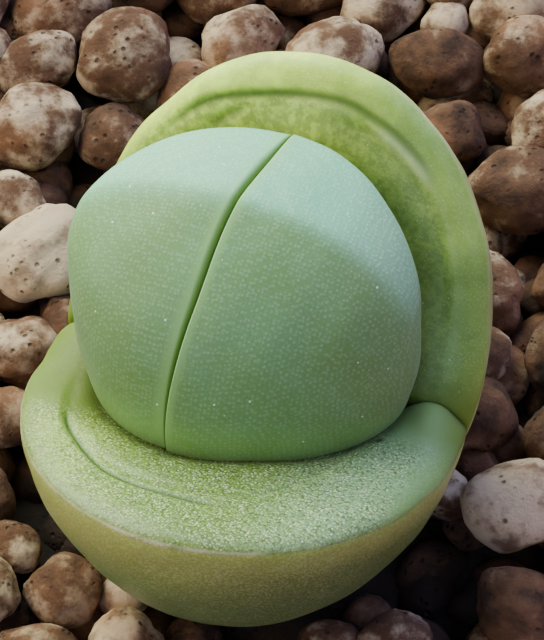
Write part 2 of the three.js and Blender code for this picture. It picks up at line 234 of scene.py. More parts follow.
class StageSettings(bpy.types.PropertyGroup):
    distance: length("Camera distance", "From the cleft's bottom to the camera", 0.19933)
    azimuth: angle("Camera azimuth", "Camera's turn from the front towards +X", 26.77)
    elevation: angle("Camera elevation", "Camera's height over the horizon", 60)
    roll: angle("Camera roll", "Turn of the camera about its line of sight", 8.73)
    lens: FloatProperty(name="Lens", description="Focal length", default=182.3, unit="CAMERA")
    aim_right: length("Aim right", "Picture centre to the right of the cleft's bottom", 0.00023)
    aim_up: length("Aim up", "Picture centre above the cleft's bottom", 0.003676)
    floor_colour: colour("Floor colour", "Plain pale floor", 226, 222, 214)
    sky_strength: number("Sky strength", "Brightness of the even light all round", 0.05)
    light_power: number("Light power", "Power of all the soft lights together, in watts", 14.0)
    light_distance: length("Light distance", "From the plant to the soft lights", 0.6)
    light_size: length("Light size", "Width of each soft light", 0.42)


class LivingStoneSettings(bpy.types.PropertyGroup):
    old_leaf: PointerProperty(type=OldLeafSettings)
    new_pair: PointerProperty(type=NewPairSettings)
    dressing: PointerProperty(type=DressingSettings)
    pot: PointerProperty(type=PotSettings)
    stage: PointerProperty(type=StageSettings)


# Meshes

SWELL_WAVES = 9


def outward_faces(points, faces):
    """The faces turned so that they look out of the closed mesh."""
    a, b, c = (points[faces[:, k]] for k in range(3))
    volume = np.einsum("ij,ij->", a, np.cross(b, c))
    return faces if volume > 0 else faces[:, ::-1]


def make_piece(name, points, faces, material, replaced, attributes=None):
    """A smooth piece of the object, with a number at each point for every attribute of its finish."""
    mesh = bpy.data.meshes.new(name)
    mesh.from_pydata(points.tolist(), [], outward_faces(points, faces).tolist())
    mesh.polygons.foreach_set("use_smooth", np.ones(len(mesh.polygons), dtype=bool))
    for key, values in (attributes or {}).items():
        layer = mesh.attributes.new(key, "FLOAT", "POINT")
        layer.data.foreach_set("value", np.asarray(values, dtype=np.float32))
    mesh.update()
    mesh.materials.append(material)
    piece = bpy.data.objects.new(name, mesh)
    bpy.context.scene.collection.objects.link(piece)
    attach(piece, "root")
    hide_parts(*replaced)


def band_between(low, high, sectors):
    """Triangles between the ring of points that starts at low and the one that starts at high."""
    turn = np.arange(sectors)
    after = (turn + 1) % sectors
    return [np.c_[low + turn, high + turn, high + after], np.c_[low + turn, high + after, low + after]]


def capped_rings(ring_count, sectors):
    """Triangles of a ball of rings between a first and a last single point."""
    turn = np.arange(sectors)
    after = (turn + 1) % sectors
    faces = [np.c_[np.zeros(sectors, int), 1 + turn, 1 + after]]
    for ring in range(ring_count - 1):
        faces += band_between(1 + ring * sectors, 1 + (ring + 1) * sectors, sectors)
    last_ring = 1 + (ring_count - 1) * sectors
    faces.append(np.c_[np.full(sectors, last_ring + sectors), last_ring + after, last_ring + turn])
    return np.concatenate(faces)


def closed_rings(ring_count, sectors):
    """Triangles of a tube of rings whose last ring joins its first."""
    faces = []
    for ring in range(ring_count):
        faces += band_between(ring * sectors, (ring + 1) % ring_count * sectors, sectors)
    return np.concatenate(faces)


def ball(level):
    sphere = bmesh.new()
    bmesh.ops.create_icosphere(sphere, subdivisions=level, radius=1)
    points = np.array([v.co[:] for v in sphere.verts])
    faces = np.array([[v.index for v in f.verts] for f in sphere.faces])
    sphere.free()
    return points / np.linalg.norm(points, axis=1)[:, None], faces


def vertex_normals(points, faces):
    normals = np.zeros_like(points)
    a, b, c = (points[faces[:, k]] for k in range(3))
    facing = np.cross(b - a, c - a)
    for k in range(3):
        np.add.at(normals, faces[:, k], facing)
    size = np.linalg.norm(normals, axis=1)
    return normals / np.maximum(size, 1e-20)[:, None]


def swell(points, scale, seed):
    """Smooth noise between about -1 and 1, from a seeded sum of plane waves."""
    draws = np.random.RandomState(seed)
    total = np.zeros(len(points))
    for _ in range(SWELL_WAVES):
        direction = draws.normal(size=3)
        direction /= np.linalg.norm(direction)
        pitch = scale * draws.uniform(0.6, 1.5)
        total += np.sin(points @ direction * 2 * math.pi / pitch + draws.uniform(0, 2 * math.pi))
    return total / math.sqrt(SWELL_WAVES)


def smoothstep(values, low, high):
    """Smooth rise from 0 to 1 between low and high."""
    t = np.clip((values - low) / (high - low), 0, 1)
    return t * t * (3 - 2 * t)


def ramp(values, low, high):
    """Smooth rise from 0 to 1 between two places in millimetres."""
    return smoothstep(values, low * MM, high * MM)


def hill(distance, width):
    """Bell curve that is 1 at no distance, with its width in millimetres."""
    return np.exp(-(distance / (width * MM)) ** 2)


# Finishes. The scales of their patterns are in cells per metre, and bumps are in metres.

# Linear colours of small marks, and of what hardly shows
DUST = (0.85, 0.9, 0.85)
LIT_EDGE = (0.55, 0.82, 0.52)
GLINT = (0.9, 0.93, 0.85)
SOIL_CRUMB = (0.06, 0.025, 0.015)
RUST = (0.36, 0.16, 0.08)
DEEP_SHADE = (0.012, 0.009, 0.007)
CLAY_SPECK = (0.2, 0.08, 0.045)
CLAY_GRAIN = (0.42, 0.17, 0.09)
MIX_DARK = (0.035, 0.022, 0.014)
MIX_PALE = (0.22, 0.16, 0.11)
ROOT_DARK = (0.16, 0.09, 0.05)
ROOT_PALE = (0.5, 0.36, 0.22)
FLOOR_SPECKLE = (0.5, 0.48, 0.45)
SKY = (0.8, 0.9, 1.0)


def opaque(paint):
    """A colour with full alpha, or a socket as it is."""
    return paint if isinstance(paint, bpy.types.NodeSocket) else (*paint, 1.0)


class Finish:
    """A material, with short calls for the nodes that the finishes share."""

    def __init__(self, name):
        self.material = bpy.data.materials.new(name)
        self.material.use_nodes = True
        self.tree = self.material.node_tree
        self.shader = self.tree.nodes["Principled BSDF"]
        self.where = self.node("ShaderNodeTexCoord").outputs["Object"]
        self.bumps = {}

    def feed(self, socket, value):
        if isinstance(value, bpy.types.NodeSocket):
            self.tree.links.new(value, socket)
        else:
            socket.default_value = value

    def node(self, kind, inputs=None, **settings):
        made = self.tree.nodes.new(kind)
        for key, value in settings.items():
            setattr(made, key, value)
        for key, value in (inputs or {}).items():
            self.feed(made.inputs[key], value)
        return made

    def attribute(self, name):
        return self.node("ShaderNodeAttribute", attribute_name=name).outputs["Fac"]

    def noise(self, scale, detail=2.0, roughness=0.5, where=None):
        inputs = {"Vector": where or self.where, "Scale": scale, "Detail": detail, "Roughness": roughness}
        return self.node("ShaderNodeTexNoise", inputs).outputs["Fac"]

    def cells(self, scale, randomness=1.0):
        inputs = {"Vector": self.where, "Scale": scale, "Randomness": randomness}
        return self.node("ShaderNodeTexVoronoi", inputs).outputs["Distance"]

    def cell_shares(self, scale):
        """A number between 0 and 1 for each whole cell."""
        pattern = self.node("ShaderNodeTexVoronoi", {"Vector": self.where, "Scale": scale})
        return self.node("ShaderNodeSeparateColor", {"Color": pattern.outputs["Color"]}).outputs["Red"]

    def remap(self, value, low, high, to_low=0.0, to_high=1.0):
        """A smooth step from low to high, as a value from to_low to to_high."""
        inputs = {"Value": value, "From Min": low, "From Max": high, "To Min": to_low, "To Max": to_high}
        return self.node("ShaderNodeMapRange", inputs, interpolation_type="SMOOTHSTEP").outputs["Result"]

    def combine(self, operation, first, *others):
        for other in others:
            first = self.node("ShaderNodeMath", {0: first, 1: other}, operation=operation).outputs["Value"]
        return first

    def times(self, *values):
        return self.combine("MULTIPLY", *values)

    def coats(self, base, *layers):
        """Lays colours over a base one after the other, each as far as its factor says."""
        for factor, paint in layers:
            inputs = {0: factor, 6: opaque(base), 7: opaque(paint)}
            base = self.node("ShaderNodeMix", inputs, data_type="RGBA", blend_type="MIX").outputs[2]
        return base

    def relief(self, height, strength, distance):
        """Adds a bump on top of the earlier ones."""
        inputs = {"Height": height, "Strength": strength, "Distance": distance, **self.bumps}
        self.bumps = {"Normal": self.node("ShaderNodeBump", inputs).outputs["Normal"]}

    def done(self, paint, values):
        for key, value in {"Base Color": paint, **self.bumps, **values}.items():
            self.feed(self.shader.inputs[key], value)
        return self.material


def new_leaf_finish(look):
    skin = Finish("new_leaf_skin")
    crown, band = skin.attribute("crown"), skin.attribute("band")
    drift = skin.remap(skin.noise(260, 3), 0.3, 0.7, -0.05, 0.05)
    fine = skin.remap(skin.noise(8200, 2), 0.3, 0.7, -0.05, 0.05)
    # Partly waxy bloom, partly painted light: most of it lies on the crown where the skin faces up
    veil_of_bloom_and_light = skin.combine("ADD", skin.attribute("bloom_and_painted_light"), drift, fine)
    dot = skin.times(skin.remap(skin.cells(3900, randomness=0.5), 0.1, 0.6, 1, 0),
                     skin.combine("SUBTRACT", 1.0, band))
    dust = skin.remap(skin.cells(700), 0.035, 0.06, 0.8, 0)
    powder = skin.times(skin.remap(skin.cells(4700), 0.1, 0.24, 0.3, 0), skin.remap(crown, 0, 1, 0.25, 1))
    # Painted light with a greener flesh at the foot, over the front leaf
    flesh = skin.coats(look.flesh_colour, (skin.attribute("foot_green_and_painted_light"), look.foot_green_and_painted_light_colour))
    bloom_and_painted_light = skin.coats(look.bloom_colour, (skin.attribute("far_side"), look.far_colour))
    paint = skin.coats(
        flesh,
        (veil_of_bloom_and_light, bloom_and_painted_light),
        (skin.times(dot, skin.remap(crown, 0, 1, 0.14, 0.24)), look.dot_colour),
        (skin.times(band, 0.42), look.band_colour),
        (skin.combine("MAXIMUM", dust, powder), DUST),
        (skin.attribute("wall"), look.cleft_colour),
        (skin.attribute("edge"), LIT_EDGE),
    )
    skin.relief(skin.noise(5200, 2), 0.2, 0.00003)
    skin.relief(dot, 0.3, 0.00004)
    return skin.done(paint, {"Roughness": 0.5, "Specular IOR Level": 0.3, "Subsurface Weight": 0.25,
                             "Subsurface Radius": (0.5, 1.0, 0.3), "Subsurface Scale": 0.001,
                             "Sheen Weight": 0.1, "Sheen Roughness": 0.6})


def granules(skin, lobe, edge, grain, kept):
    """Pale granules of uneven strength, fewer in patches, on the swellings and at the edge."""
    return skin.times(
        skin.remap(skin.cell_shares(6200), 0.0, 1.0, 0.25, 1.0),
        skin.remap(skin.cells(6200), 0.12, 0.6, 1, 0),
        skin.remap(skin.noise(800, 3), 0.35, 0.62, 0.6, 1.0),
        skin.remap(lobe, 0.1, 0.9, 1.0, 0.1),
        skin.remap(edge, 0.3, 1.0, 1.0, 0.4),
        skin.remap(grain, 0, 1, 0.2, 1),
        kept,
    )


def face_paint(skin, look, granule, lobe, edge, grain, kept):
    mottle = skin.times(skin.remap(skin.noise(1900, 3, 0.6), 0.4, 0.62, 0.45, 0),
                        skin.remap(grain, 0, 1, 1, 0))
    speck = skin.times(skin.remap(skin.noise(5200, 2), 0.36, 0.54, 0.8, 0), grain,
                       skin.remap(lobe, 0.1, 0.9, 1.0, 0.1), kept)
    glint = skin.times(skin.remap(skin.cells(2600), 0.09, 0.14, 1, 0),
                       skin.remap(granule, 0.0, 0.2, 0, 0.9))
    return skin.coats(
        look.back_colour,
        (grain, look.face_colour),
        # Painted light: the back leaf's top and the front face's left made paler, as if lit
        (skin.attribute("painted_sunlight"), look.painted_sunlight_colour),
        (skin.remap(skin.noise(420, 3), 0.35, 0.7, 0.0, 0.35), look.groove_colour),
        (edge, look.edge_colour),
        (skin.times(mottle, skin.remap(skin.attribute("print"), 0, 1, 0.3, 1)), look.groove_colour),
        (skin.times(lobe, 0.8), look.lobe_colour),
        # Painted light: bluish light on the right end of the faces
        (skin.times(skin.attribute("right_end_light_and_shade"), 0.4), look.painted_bluish_light_colour),
        # Painted shade next to the new pair
        (skin.times(skin.attribute("painted_contact_shade"), 0.9), look.painted_contact_shade_colour),
        (speck, look.speck_colour),
        (granule, look.granule_colour),
        (glint, GLINT),
    )


def keel_paint(skin, look):
    flank = skin.attribute("flank")
    fleck = skin.combine("MAXIMUM", skin.remap(skin.cells(1500), 0.05, 0.14, 0.45, 0),
                         skin.remap(skin.noise(6800, 2), 0.42, 0.66, 0, 0.3))
    # Painted shade: the outer side darker at the right end, more so away from the rim
    shady = skin.times(skin.attribute("right_end_light_and_shade"), skin.remap(flank, 0.0, 0.4, 0.1, 0.65))
    return skin.coats(look.shoulder_colour, (flank, look.keel_colour), (shady, look.shade_colour),
                      (fleck, look.granule_colour))


def old_leaf_finish(look):
    skin = Finish("old_leaf_skin")
    face, lobe, grain, edge, groove = (
        skin.attribute(name) for name in ("face", "lobe", "grain", "edge", "groove"))
    kept = skin.remap(skin.attribute("thin"), 0, 1, 1, 0.2)
    granule = granules(skin, lobe, edge, grain, kept)
    paint = skin.coats(
        keel_paint(skin, look),
        (face, face_paint(skin, look, granule, lobe, edge, grain, kept)),
        (skin.times(groove, skin.remap(grain, 0, 1, 0.85, 0.4)), look.groove_colour),
        (skin.times(skin.remap(groove, 0.5, 0.95, 0, 0.85), grain), look.line_colour),
        (skin.times(skin.attribute("welt"), 0.35), look.granule_colour),
        (skin.times(skin.attribute("rim"), 0.7), look.rim_colour),
        (skin.attribute("crumb"), SOIL_CRUMB),
    )
    skin.relief(skin.noise(1500, 3), 0.25, 0.00012)
    skin.relief(skin.times(granule, face), 0.6, 0.00008)
    return skin.done(paint, {"Roughness": skin.remap(lobe, 0.2, 0.9, 0.42, 0.62), "Specular IOR Level": 0.4,
                             "Subsurface Weight": 0.7, "Subsurface Radius": (0.8, 1.0, 0.2),
                             "Subsurface Scale": 0.0026})


def stone_finish(look):
    skin = Finish("porous_stone")
    mottle = skin.remap(skin.noise(420, 5, 0.62), 0.3, 0.7, -0.28, 0.28)
    shade = skin.combine("ADD", skin.attribute("tone"), mottle)
    pit = skin.times(skin.remap(skin.cells(1500), 0.1, 0.32, 1, 0),
                     skin.remap(skin.noise(500, 2), 0.5, 0.62))
    paint = skin.coats(
        look.dark_colour,
        (skin.remap(shade, 0.0, 0.5), look.mid_colour),
        (skin.remap(shade, 0.45, 1.0), look.pale_colour),
        (skin.remap(skin.noise(160, 3), 0.5, 0.75, 0, 0.45), RUST),
        (skin.times(pit, 0.7), look.dark_colour),
        (skin.attribute("deep"), DEEP_SHADE),
    )
    skin.relief(skin.noise(2600, 6, 0.68), 0.7, 0.00025)
    skin.relief(skin.combine("SUBTRACT", 1.0, pit), 0.8, 0.0003)
    return skin.done(paint, {"Roughness": 0.85, "Specular IOR Level": 0.25})


def clay_finish(look):
    skin = Finish("fired_clay")
    paint = skin.coats(
        look.clay_colour,
        (skin.remap(skin.noise(38, 5, 0.6), 0.46, 0.78, 0, 0.55), look.lime_colour),
        (skin.remap(skin.cells(900), 0.05, 0.16, 0.55, 0), CLAY_SPECK),
        (skin.remap(skin.noise(1400, 4, 0.7), 0.3, 0.7, 0.0, 0.35), CLAY_GRAIN),
    )
    skin.relief(skin.noise(240, 4), 0.35, 0.0004)
    skin.relief(skin.noise(3000, 5, 0.7), 0.5, 0.00012)
    return skin.done(paint, {"Roughness": 0.88, "Specular IOR Level": 0.25})


def mix_finish():
    skin = Finish("gritty_mix")
    paint = skin.coats(MIX_DARK, (skin.remap(skin.cell_shares(700), 0.6, 1.0), MIX_PALE))
    skin.relief(skin.cells(700), 1.0, 0.0008)
    return skin.done(paint, {"Roughness": 0.95, "Specular IOR Level": 0.2})


def root_finish():
    skin = Finish("root_bark")
    streak = skin.node("ShaderNodeMapping", {"Vector": skin.where, "Scale": (1, 1, 0.12)}).outputs["Vector"]
    fibre = skin.noise(900, 5, 0.6, where=streak)
    paint = skin.coats(ROOT_DARK, (fibre, ROOT_PALE))
    skin.relief(fibre, 0.8, 0.0004)
    return skin.done(paint, {"Roughness": 0.9, "Specular IOR Level": 0.2})


def floor_finish(look):
    skin = Finish("floor_paint")
    speckle = skin.remap(skin.noise(60, 3), 0.3, 0.7, 0.0, 0.06)
    return skin.done(skin.coats(look.floor_colour, (speckle, FLOOR_SPECKLE)), {"Roughness": 0.8})


# Old leaves

FRONT, BACK = -1, 1
LEAF_SECTORS = 320
FACE_RINGS = 110
KEEL_RINGS = 90
CURVE_STEPS = 24
HALVINGS = 34

# Slow unevenness of the skin: height and spacing in millimetres, and the seed
OLD_LEAF_WAVES = ((0.06, 6, 11), (0.015, 2.4, 23))
NEW_LEAF_WAVES = ((0.035, 4.5, 41),)

# Ovals of the new pair's print, in millimetres: middle across and along the face, half width, half length
PRINTS = {FRONT: (-1.5, 4, 9, 12), BACK: (-0.6, 4, 11.5, 14.2)}
PRINT_POWER = 2.4

# Lines pressed into the faces, in millimetres across and along a leaf: points, half width, depth share,
# and the share of their length over which each end fades
LINES = {
    FRONT: (
        (((-9.4, 10.1), (-8.8, 11.5), (-8.1, 12.5), (-7.1, 13.6), (-6.0, 14.7), (-5.1, 15.4), (-4.1, 15.9),
          (-2.7, 16.3), (-1.6, 16.4), (-0.4, 16.4), (1.4, 16.3), (2.6, 16.1), (3.9, 15.9)),
         0.27, 1.0, (0.08, 0.2)),
        (((3.7, 13.7), (4.6, 12.8), (5.2, 12.1), (5.7, 11.3), (6.7, 10.6)), 0.16, 0.55, (0.3, 0.3)),
    ),
    BACK: (
        (((-9.6, 13.2), (-8.8, 14.2), (-7.6, 15.7), (-5.8, 17.0), (-3.3, 17.8), (-0.5, 18.4), (1.9, 18.5),
          (3.7, 18.0), (5.3, 17.3), (6.9, 16.2), (8.0, 15.1), (8.6, 14.3)), 0.3, 1.0, (0.2, 0.12)),
        (((-6.4, 14.5), (-5.6, 15.6), (-4.2, 16.8), (-3.3, 17.3)), 0.3, 0.55, (0.35, 0.4)),
    ),
}
# Welts raised beside them, laid out in the same way
WELTS = {
    FRONT: (
        (((-8.2, 10.6), (-6.8, 12.7), (-5.2, 13.9), (-3.4, 14.8), (-1.2, 15.1), (1.0, 15.0)),
         0.45, 0.5, (0.2, 0.4)),
    ),
    BACK: (
        (((3.4, 17.3), (4.6, 17.0), (6.1, 16.2), (7.5, 15.2), (8.3, 14.3)), 0.4, 1.0, (0.25, 0.3)),
        (((-2.6, 17.3), (-0.2, 17.8), (1.4, 17.9), (3.2, 17.5)), 0.4, 0.5, (0.3, 0.3)),
    ),
}
WELT_RISE = 0.6
# Swellings at the ends of the old cleft: middle across and along, half sizes and height, in millimetres
LOBES = {
    FRONT: ((11.0, 0.9, 2.1, 2.9, 1.9), (-11.0, 1.4, 2.6, 3.4, 1.3)),
    BACK: ((-11.2, 1.5, 2.6, 5.0, 0.6),),
}
# How far the rim swells out at the right and the left end of the cleft, and how far along, in millimetres
RIGHT_SWELL, LEFT_SWELL, SWELL_REACH = 0.28, -0.7, 3.2
# The one dark crumb of soil on the front face: across and along, in millimetres
CRUMB_PLACE = (8.55, 4.7)
# Where the old cleft's seam closes on both sides, in millimetres from its middle
SEAM_ENDS = (8.5, 10.5)
DEEPEST_SOCKET = 14 * MM


def waves_of_skin(points, waves, side):
    return sum(height * MM * swell(points, spacing * MM, seed + side) for height, spacing, seed in waves)


def of_old_leaf(shape, side, key):
    return getattr(shape, ("front_" if side == FRONT else "back_") + key)


def leaf_place(side, shape, across, along, depth):
    tilt = of_old_leaf(shape, side, "tilt")
    slope = along + shape.base_shear * np.maximum(depth, 0)
    return np.c_[
        across,
        side * (slope * math.sin(tilt) + depth * math.cos(tilt)),
        shape.cleft_height + slope * math.cos(tilt) - depth * math.sin(tilt),
    ]


def print_gauge(side, across, along):
    """Below 1 inside the new pair's print, above 1 outside it."""
    middle_across, middle_along, half_width, half_length = (MM * size for size in PRINTS[side])
    u = np.abs((across - middle_across) / half_width) ** PRINT_POWER
    v = np.abs((along - middle_along) / half_length) ** PRINT_POWER
    return u + v


def smooth_curve(corners):
    """Points along a curve through the given corners."""
    corners = np.array(corners, dtype=float) * MM
    padded = np.concatenate([[2 * corners[0] - corners[1]], corners, [2 * corners[-1] - corners[-2]]])
    t = np.linspace(0, 1, CURVE_STEPS, endpoint=False)[:, None]
    curve = []
    for a, b, c, d in zip(padded, padded[1:], padded[2:], padded[3:]):
        curve.append(0.5 * (2 * b + (c - a) * t + (2 * a - 5 * b + 4 * c - d) * t ** 2
                            + (3 * b - a - 3 * c + d) * t ** 3))
    curve.append(corners[-1:])
    return np.concatenate(curve)


def line_strength(lines, across, along):
    """How near a face's points lie to the drawn lines, from 0 to 1."""
    total = np.zeros(len(across))
    for corners, half_width, share, (start_fade, end_fade) in lines:
        curve = smooth_curve(corners)
        travelled = np.concatenate([[0], np.cumsum(np.linalg.norm(np.diff(curve, axis=0), axis=1))])
        travelled /= travelled[-1]
        fade = smoothstep(travelled, 0, start_fade) * smoothstep(1 - travelled, 0, end_fade)
        near = np.hypot(across[:, None] - curve[:, 0], along[:, None] - curve[:, 1])
        closest = near.argmin(1)
        gap = near[np.arange(len(across)), closest]
        total = np.maximum(total, share * fade[closest] * hill(gap, half_width))
    return total


def lobe_height(side, across, along):
    total = np.zeros(len(across))
    for middle_across, middle_along, half_across, half_along, height in LOBES[side]:
        u = (across / MM - middle_across) / half_across
        v = (along / MM - middle_along) / half_along
        total += height * MM * np.exp(-u * u - v * v)
    return total


def face_height(side, shape, across, along, rim, to_rim):
    """How far a face stands over its rim: a domed form with its swellings, print, lines and welts."""
    near_ends = ramp(np.abs(across), 6, 9.5) * (1 - ramp(along, 5, 10))
    in_print = 1 - smoothstep(print_gauge(side, across, along), 0.86, 1.06)
    sunk = of_old_leaf(shape, side, "sink") * in_print * (1 - 0.75 * near_ends)
    edge = 1 - np.clip(to_rim / of_old_leaf(shape, side, "shoulder"), 0, 1)
    dome = 0.85 * np.sqrt(1 - edge ** 2) + 0.3 * (1 - rim ** 2)
    welts = WELT_RISE * line_strength(WELTS[side], across, along)
    marks = (welts - line_strength(LINES[side], across, along)) * shape.groove_depth
    lobe = lobe_height(side, across, along)
    return (of_old_leaf(shape, side, "bulge") * dome + lobe * (1 - rim ** 6) ** 0.5
            + (marks - sunk) * (1 - rim ** 8))


def keel_depth(shape, rim):
    return (1 - rim ** shape.keel_power) ** (1 / shape.keel_power)


def inside_old_leaf(side, shape, x, y, z, margin):
    tilt = of_old_leaf(shape, side, "tilt")
    out = side * y
    up = z - shape.cleft_height
    depth = out * math.cos(tilt) - up * math.sin(tilt)
    along = out * math.sin(tilt) + up * math.cos(tilt) - shape.base_shear * max(depth, 0)
    rim = math.hypot(x / (shape.half_width + margin),
                     (along - shape.face_centre) / (shape.half_length + margin))
    return rim < 1 and -margin < depth < (shape.depth + margin) * keel_depth(shape, rim)


def in_any_leaf(leaf, x, y, z, margin):
    return any(inside_old_leaf(side, leaf, x, y, z, margin) for side in (FRONT, BACK))


def into_leaf(side, shape):
    tilt = of_old_leaf(shape, side, "tilt")
    return np.array([0, side * math.cos(tilt), -math.sin(tilt)])


def gap_to_pair(points, shape, pair):
    return pair_gap(points - np.array([0, 0, shape.cleft_height]), pair)


def dip_round_pair(side, shape, pair, points, is_face):
    """Lowers a face towards the new pair, so that the pair stands in a shallow trough."""
    gap = np.maximum(gap_to_pair(points, shape, pair), 0)
    fall = shape.trough_depth * np.exp(-gap / shape.trough_width) * is_face
    fall = fall * (1 - ramp(np.abs(points[:, 0]), 7, 10))
    return points + into_leaf(side, shape) * fall[:, None]


def press_socket(side, shape, pair, points, is_face):
    """Lowers the parts of a face that the new pair would run into, until they clear it."""
    down = into_leaf(side, shape)

    def inside(where):
        return gap_to_pair(where, shape, pair) < shape.socket_gap

    held = np.flatnonzero(is_face)
    held = held[inside(points[held])]
    low = np.zeros(len(held))
    high = np.full(len(held), DEEPEST_SOCKET)
    for _ in range(HALVINGS):
        step = (low + high) / 2
        still = inside(points[held] + down * step[:, None])
        low = np.where(still, step, low)
        high = np.where(still, high, step)
    points = points.copy()
    points[held] += down * high[:, None]
    return points


def part_at_cleft(side, shape, points):
    """Keeps a leaf on its side of the old cleft's narrow seam, whose ends close."""
    joined = ramp(np.abs(points[:, 0]), *SEAM_ENDS)
    softness = (0.35 - 0.2 * joined) * MM
    seam = shape.seam * (1 - 1.4 * joined)
    seam_place = 0.2 * MM * ramp(points[:, 0], 7.5, 11.5)
    beyond = side * (points[:, 1] - seam_place) - seam
    points[:, 1] = seam_place + side * (seam + 0.5 * (beyond + np.sqrt(beyond ** 2 + softness ** 2)))
    return points


def old_leaf_mesh(side, shape, pair):
    """Points, faces and what old_leaf_finish needs to know at each point."""
    # Rings lie closer together towards the rim, on the face and on the keel
    face_rim = np.sin(0.5 * math.pi * np.arange(1, FACE_RINGS + 1) / FACE_RINGS)
    keel_rim = np.sin(0.5 * math.pi * np.arange(KEEL_RINGS - 1, 0, -1) / KEEL_RINGS)
    ring_rims = np.concatenate([face_rim, keel_rim])
    rims = np.concatenate([[0], np.repeat(ring_rims, LEAF_SECTORS), [0]])
    turn = np.linspace(0, 2 * math.pi, LEAF_SECTORS, endpoint=False)
    turns = np.concatenate([[0], np.tile(turn, len(ring_rims)), [0]])
    is_face = np.arange(len(rims)) < 1 + FACE_RINGS * LEAF_SECTORS
    across = shape.half_width * rims * np.cos(turns)
    along = shape.face_centre + shape.half_length * rims * np.sin(turns)
    to_rim = (1 - rims) * np.hypot(shape.half_width * np.cos(turns), shape.half_length * np.sin(turns))
    depth = np.where(is_face, -face_height(side, shape, across, along, rims, to_rim),
                     shape.depth * keel_depth(shape, rims))
    across += np.where(across > 0, RIGHT_SWELL, LEFT_SWELL) * MM * hill(along, SWELL_REACH) * rims ** 4
    points = leaf_place(side, shape, across, along, depth)
    faces = outward_faces(points, capped_rings(len(ring_rims), LEAF_SECTORS))
    points = points + vertex_normals(points, faces) * waves_of_skin(points, OLD_LEAF_WAVES, side)[:, None]
    if side == FRONT:
        points = dip_round_pair(side, shape, pair, points, is_face)
    points = part_at_cleft(side, shape, press_socket(side, shape, pair, points, is_face))
    gap = np.maximum(gap_to_pair(points, shape, pair), 0)
    left_end = (1 - ramp(along, 8, 13)) * ramp(-across, 6, 9)
    right_end = (1 - ramp(along, 1, 4.5)) * ramp(across, 8, 11)
    lobes = np.clip(lobe_height(side, across, along) / (0.8 * MM), 0, 1)
    lobes = np.maximum(lobes, np.maximum(left_end, right_end))
    marks = {
        "face": np.where(is_face, 1.0, hill(depth, 0.12)),
        "groove": np.where(is_face, line_strength(LINES[side], across, along), 0),
        "welt": np.where(is_face, line_strength(WELTS[side], across, along), 0),
        "lobe": lobes,
        "grain": np.full(len(points), 1.0 if side == FRONT else 0.0),
        "print": np.where(is_face, 1 - smoothstep(print_gauge(side, across, along), 0.9, 1.1), 0),
        "flank": np.where(is_face, 0, ramp(depth, 0, 7)),
    }
    rim_band = np.clip(1 - to_rim / (1.6 * MM), 0, 1)
    # Where the right end gets painted bluish light on the faces and painted shade on the outer side
    right_end_light_and_shade = ramp(across, 2, 10) * (1 - 0.6 * lobes) * np.where(is_face, 1 - 0.7 * rim_band, 1)
    if side == FRONT:
        marks.update(front_marks(across, along, is_face, gap, left_end, rim_band, right_end_light_and_shade))
    else:
        marks.update(back_marks(across, along, is_face, gap, right_end_light_and_shade))
    rim_line = np.where(is_face, hill(to_rim, 0.07), hill(depth, 0.14)) * ramp(along, 3, 5.5)
    patchy = 0.7 + 0.3 * swell(points, 2.5 * MM, 31)
    marks["rim"] = np.clip(rim_line * marks["rim"] * patchy, 0, 1)
    return points, faces, marks


def painted_contact_shade_mark(gap, width, is_face, share):
    """Painted shade, strongest next to the new pair, but for the narrow crevice itself, where less is
    painted as the real shade falls there.
    """
    return np.where(is_face, share * np.exp(-gap / width) * (1 - 0.85 * hill(gap, 0.16)), 0)


def front_marks(across, along, is_face, gap, left_end, rim_band, right_end_light_and_shade):
    """Marks that the front leaf has its own way; "rim" is the share of the rim's line that shows."""
    low_end = ramp(across, 7.5, 9.5) * (1 - ramp(along, 3.5, 6.5))
    crumb_gap = np.hypot(across - CRUMB_PLACE[0] * MM, along - CRUMB_PLACE[1] * MM)
    return {
        "edge": np.where(is_face, np.maximum(rim_band, 0.8 * left_end), 0),
        "painted_contact_shade": painted_contact_shade_mark(gap, (0.6 + 0.8 * left_end) * MM, is_face, 1.0),
        # Painted light: the left of the front face made paler
        "painted_sunlight": 0.3 * ramp(-across, 1, 9) * (1 - left_end),
        "right_end_light_and_shade": right_end_light_and_shade,
        "crumb": np.where(is_face, 1 - ramp(crumb_gap, 0.14, 0.3), 0),
        "thin": np.maximum(ramp(across, 10.2, 12.2), low_end),
        "rim": 1 - 0.75 * ramp(across, 4, 9),
    }


def back_marks(across, along, is_face, gap, right_end_light_and_shade):
    # Painted light: the back leaf's top and a spot at its right made paler
    top = ramp(along, 6, 15) * (1 - ramp(across, -1, 7))
    painted_light_spot = hill(across - 9.5 * MM, 2.5) * hill(along - 13.5 * MM, 3)
    none = np.zeros(len(across))
    return {
        "edge": none,
        "painted_contact_shade": painted_contact_shade_mark(gap, 1.3 * MM, is_face, 0.6),
        "painted_sunlight": top + 0.4 * painted_light_spot,
        "right_end_light_and_shade": 0.2 * right_end_light_and_shade,
        "crumb": none,
        "thin": none,
        "rim": ramp(across, -1, 4) * (1 - 0.5 * ramp(across, 6, 10)),
    }


# New leaves

LEFT, RIGHT = -1, 1
NEW_LEAF_SECTORS = 300
NEW_LEAF_RINGS = 150
WALL_RINGS = 26

# Share of the margin's full rounding round the cleft, by degrees from the back over the top
MARGIN_TURNS = (0, 22, 30, 45, 90, 130, 165, 190, 205, 360)
MARGIN_SHARES = (0.12, 0.14, 0.45, 1.0, 0.82, 0.76, 0.55, 0.28, 0.14, 0.12)

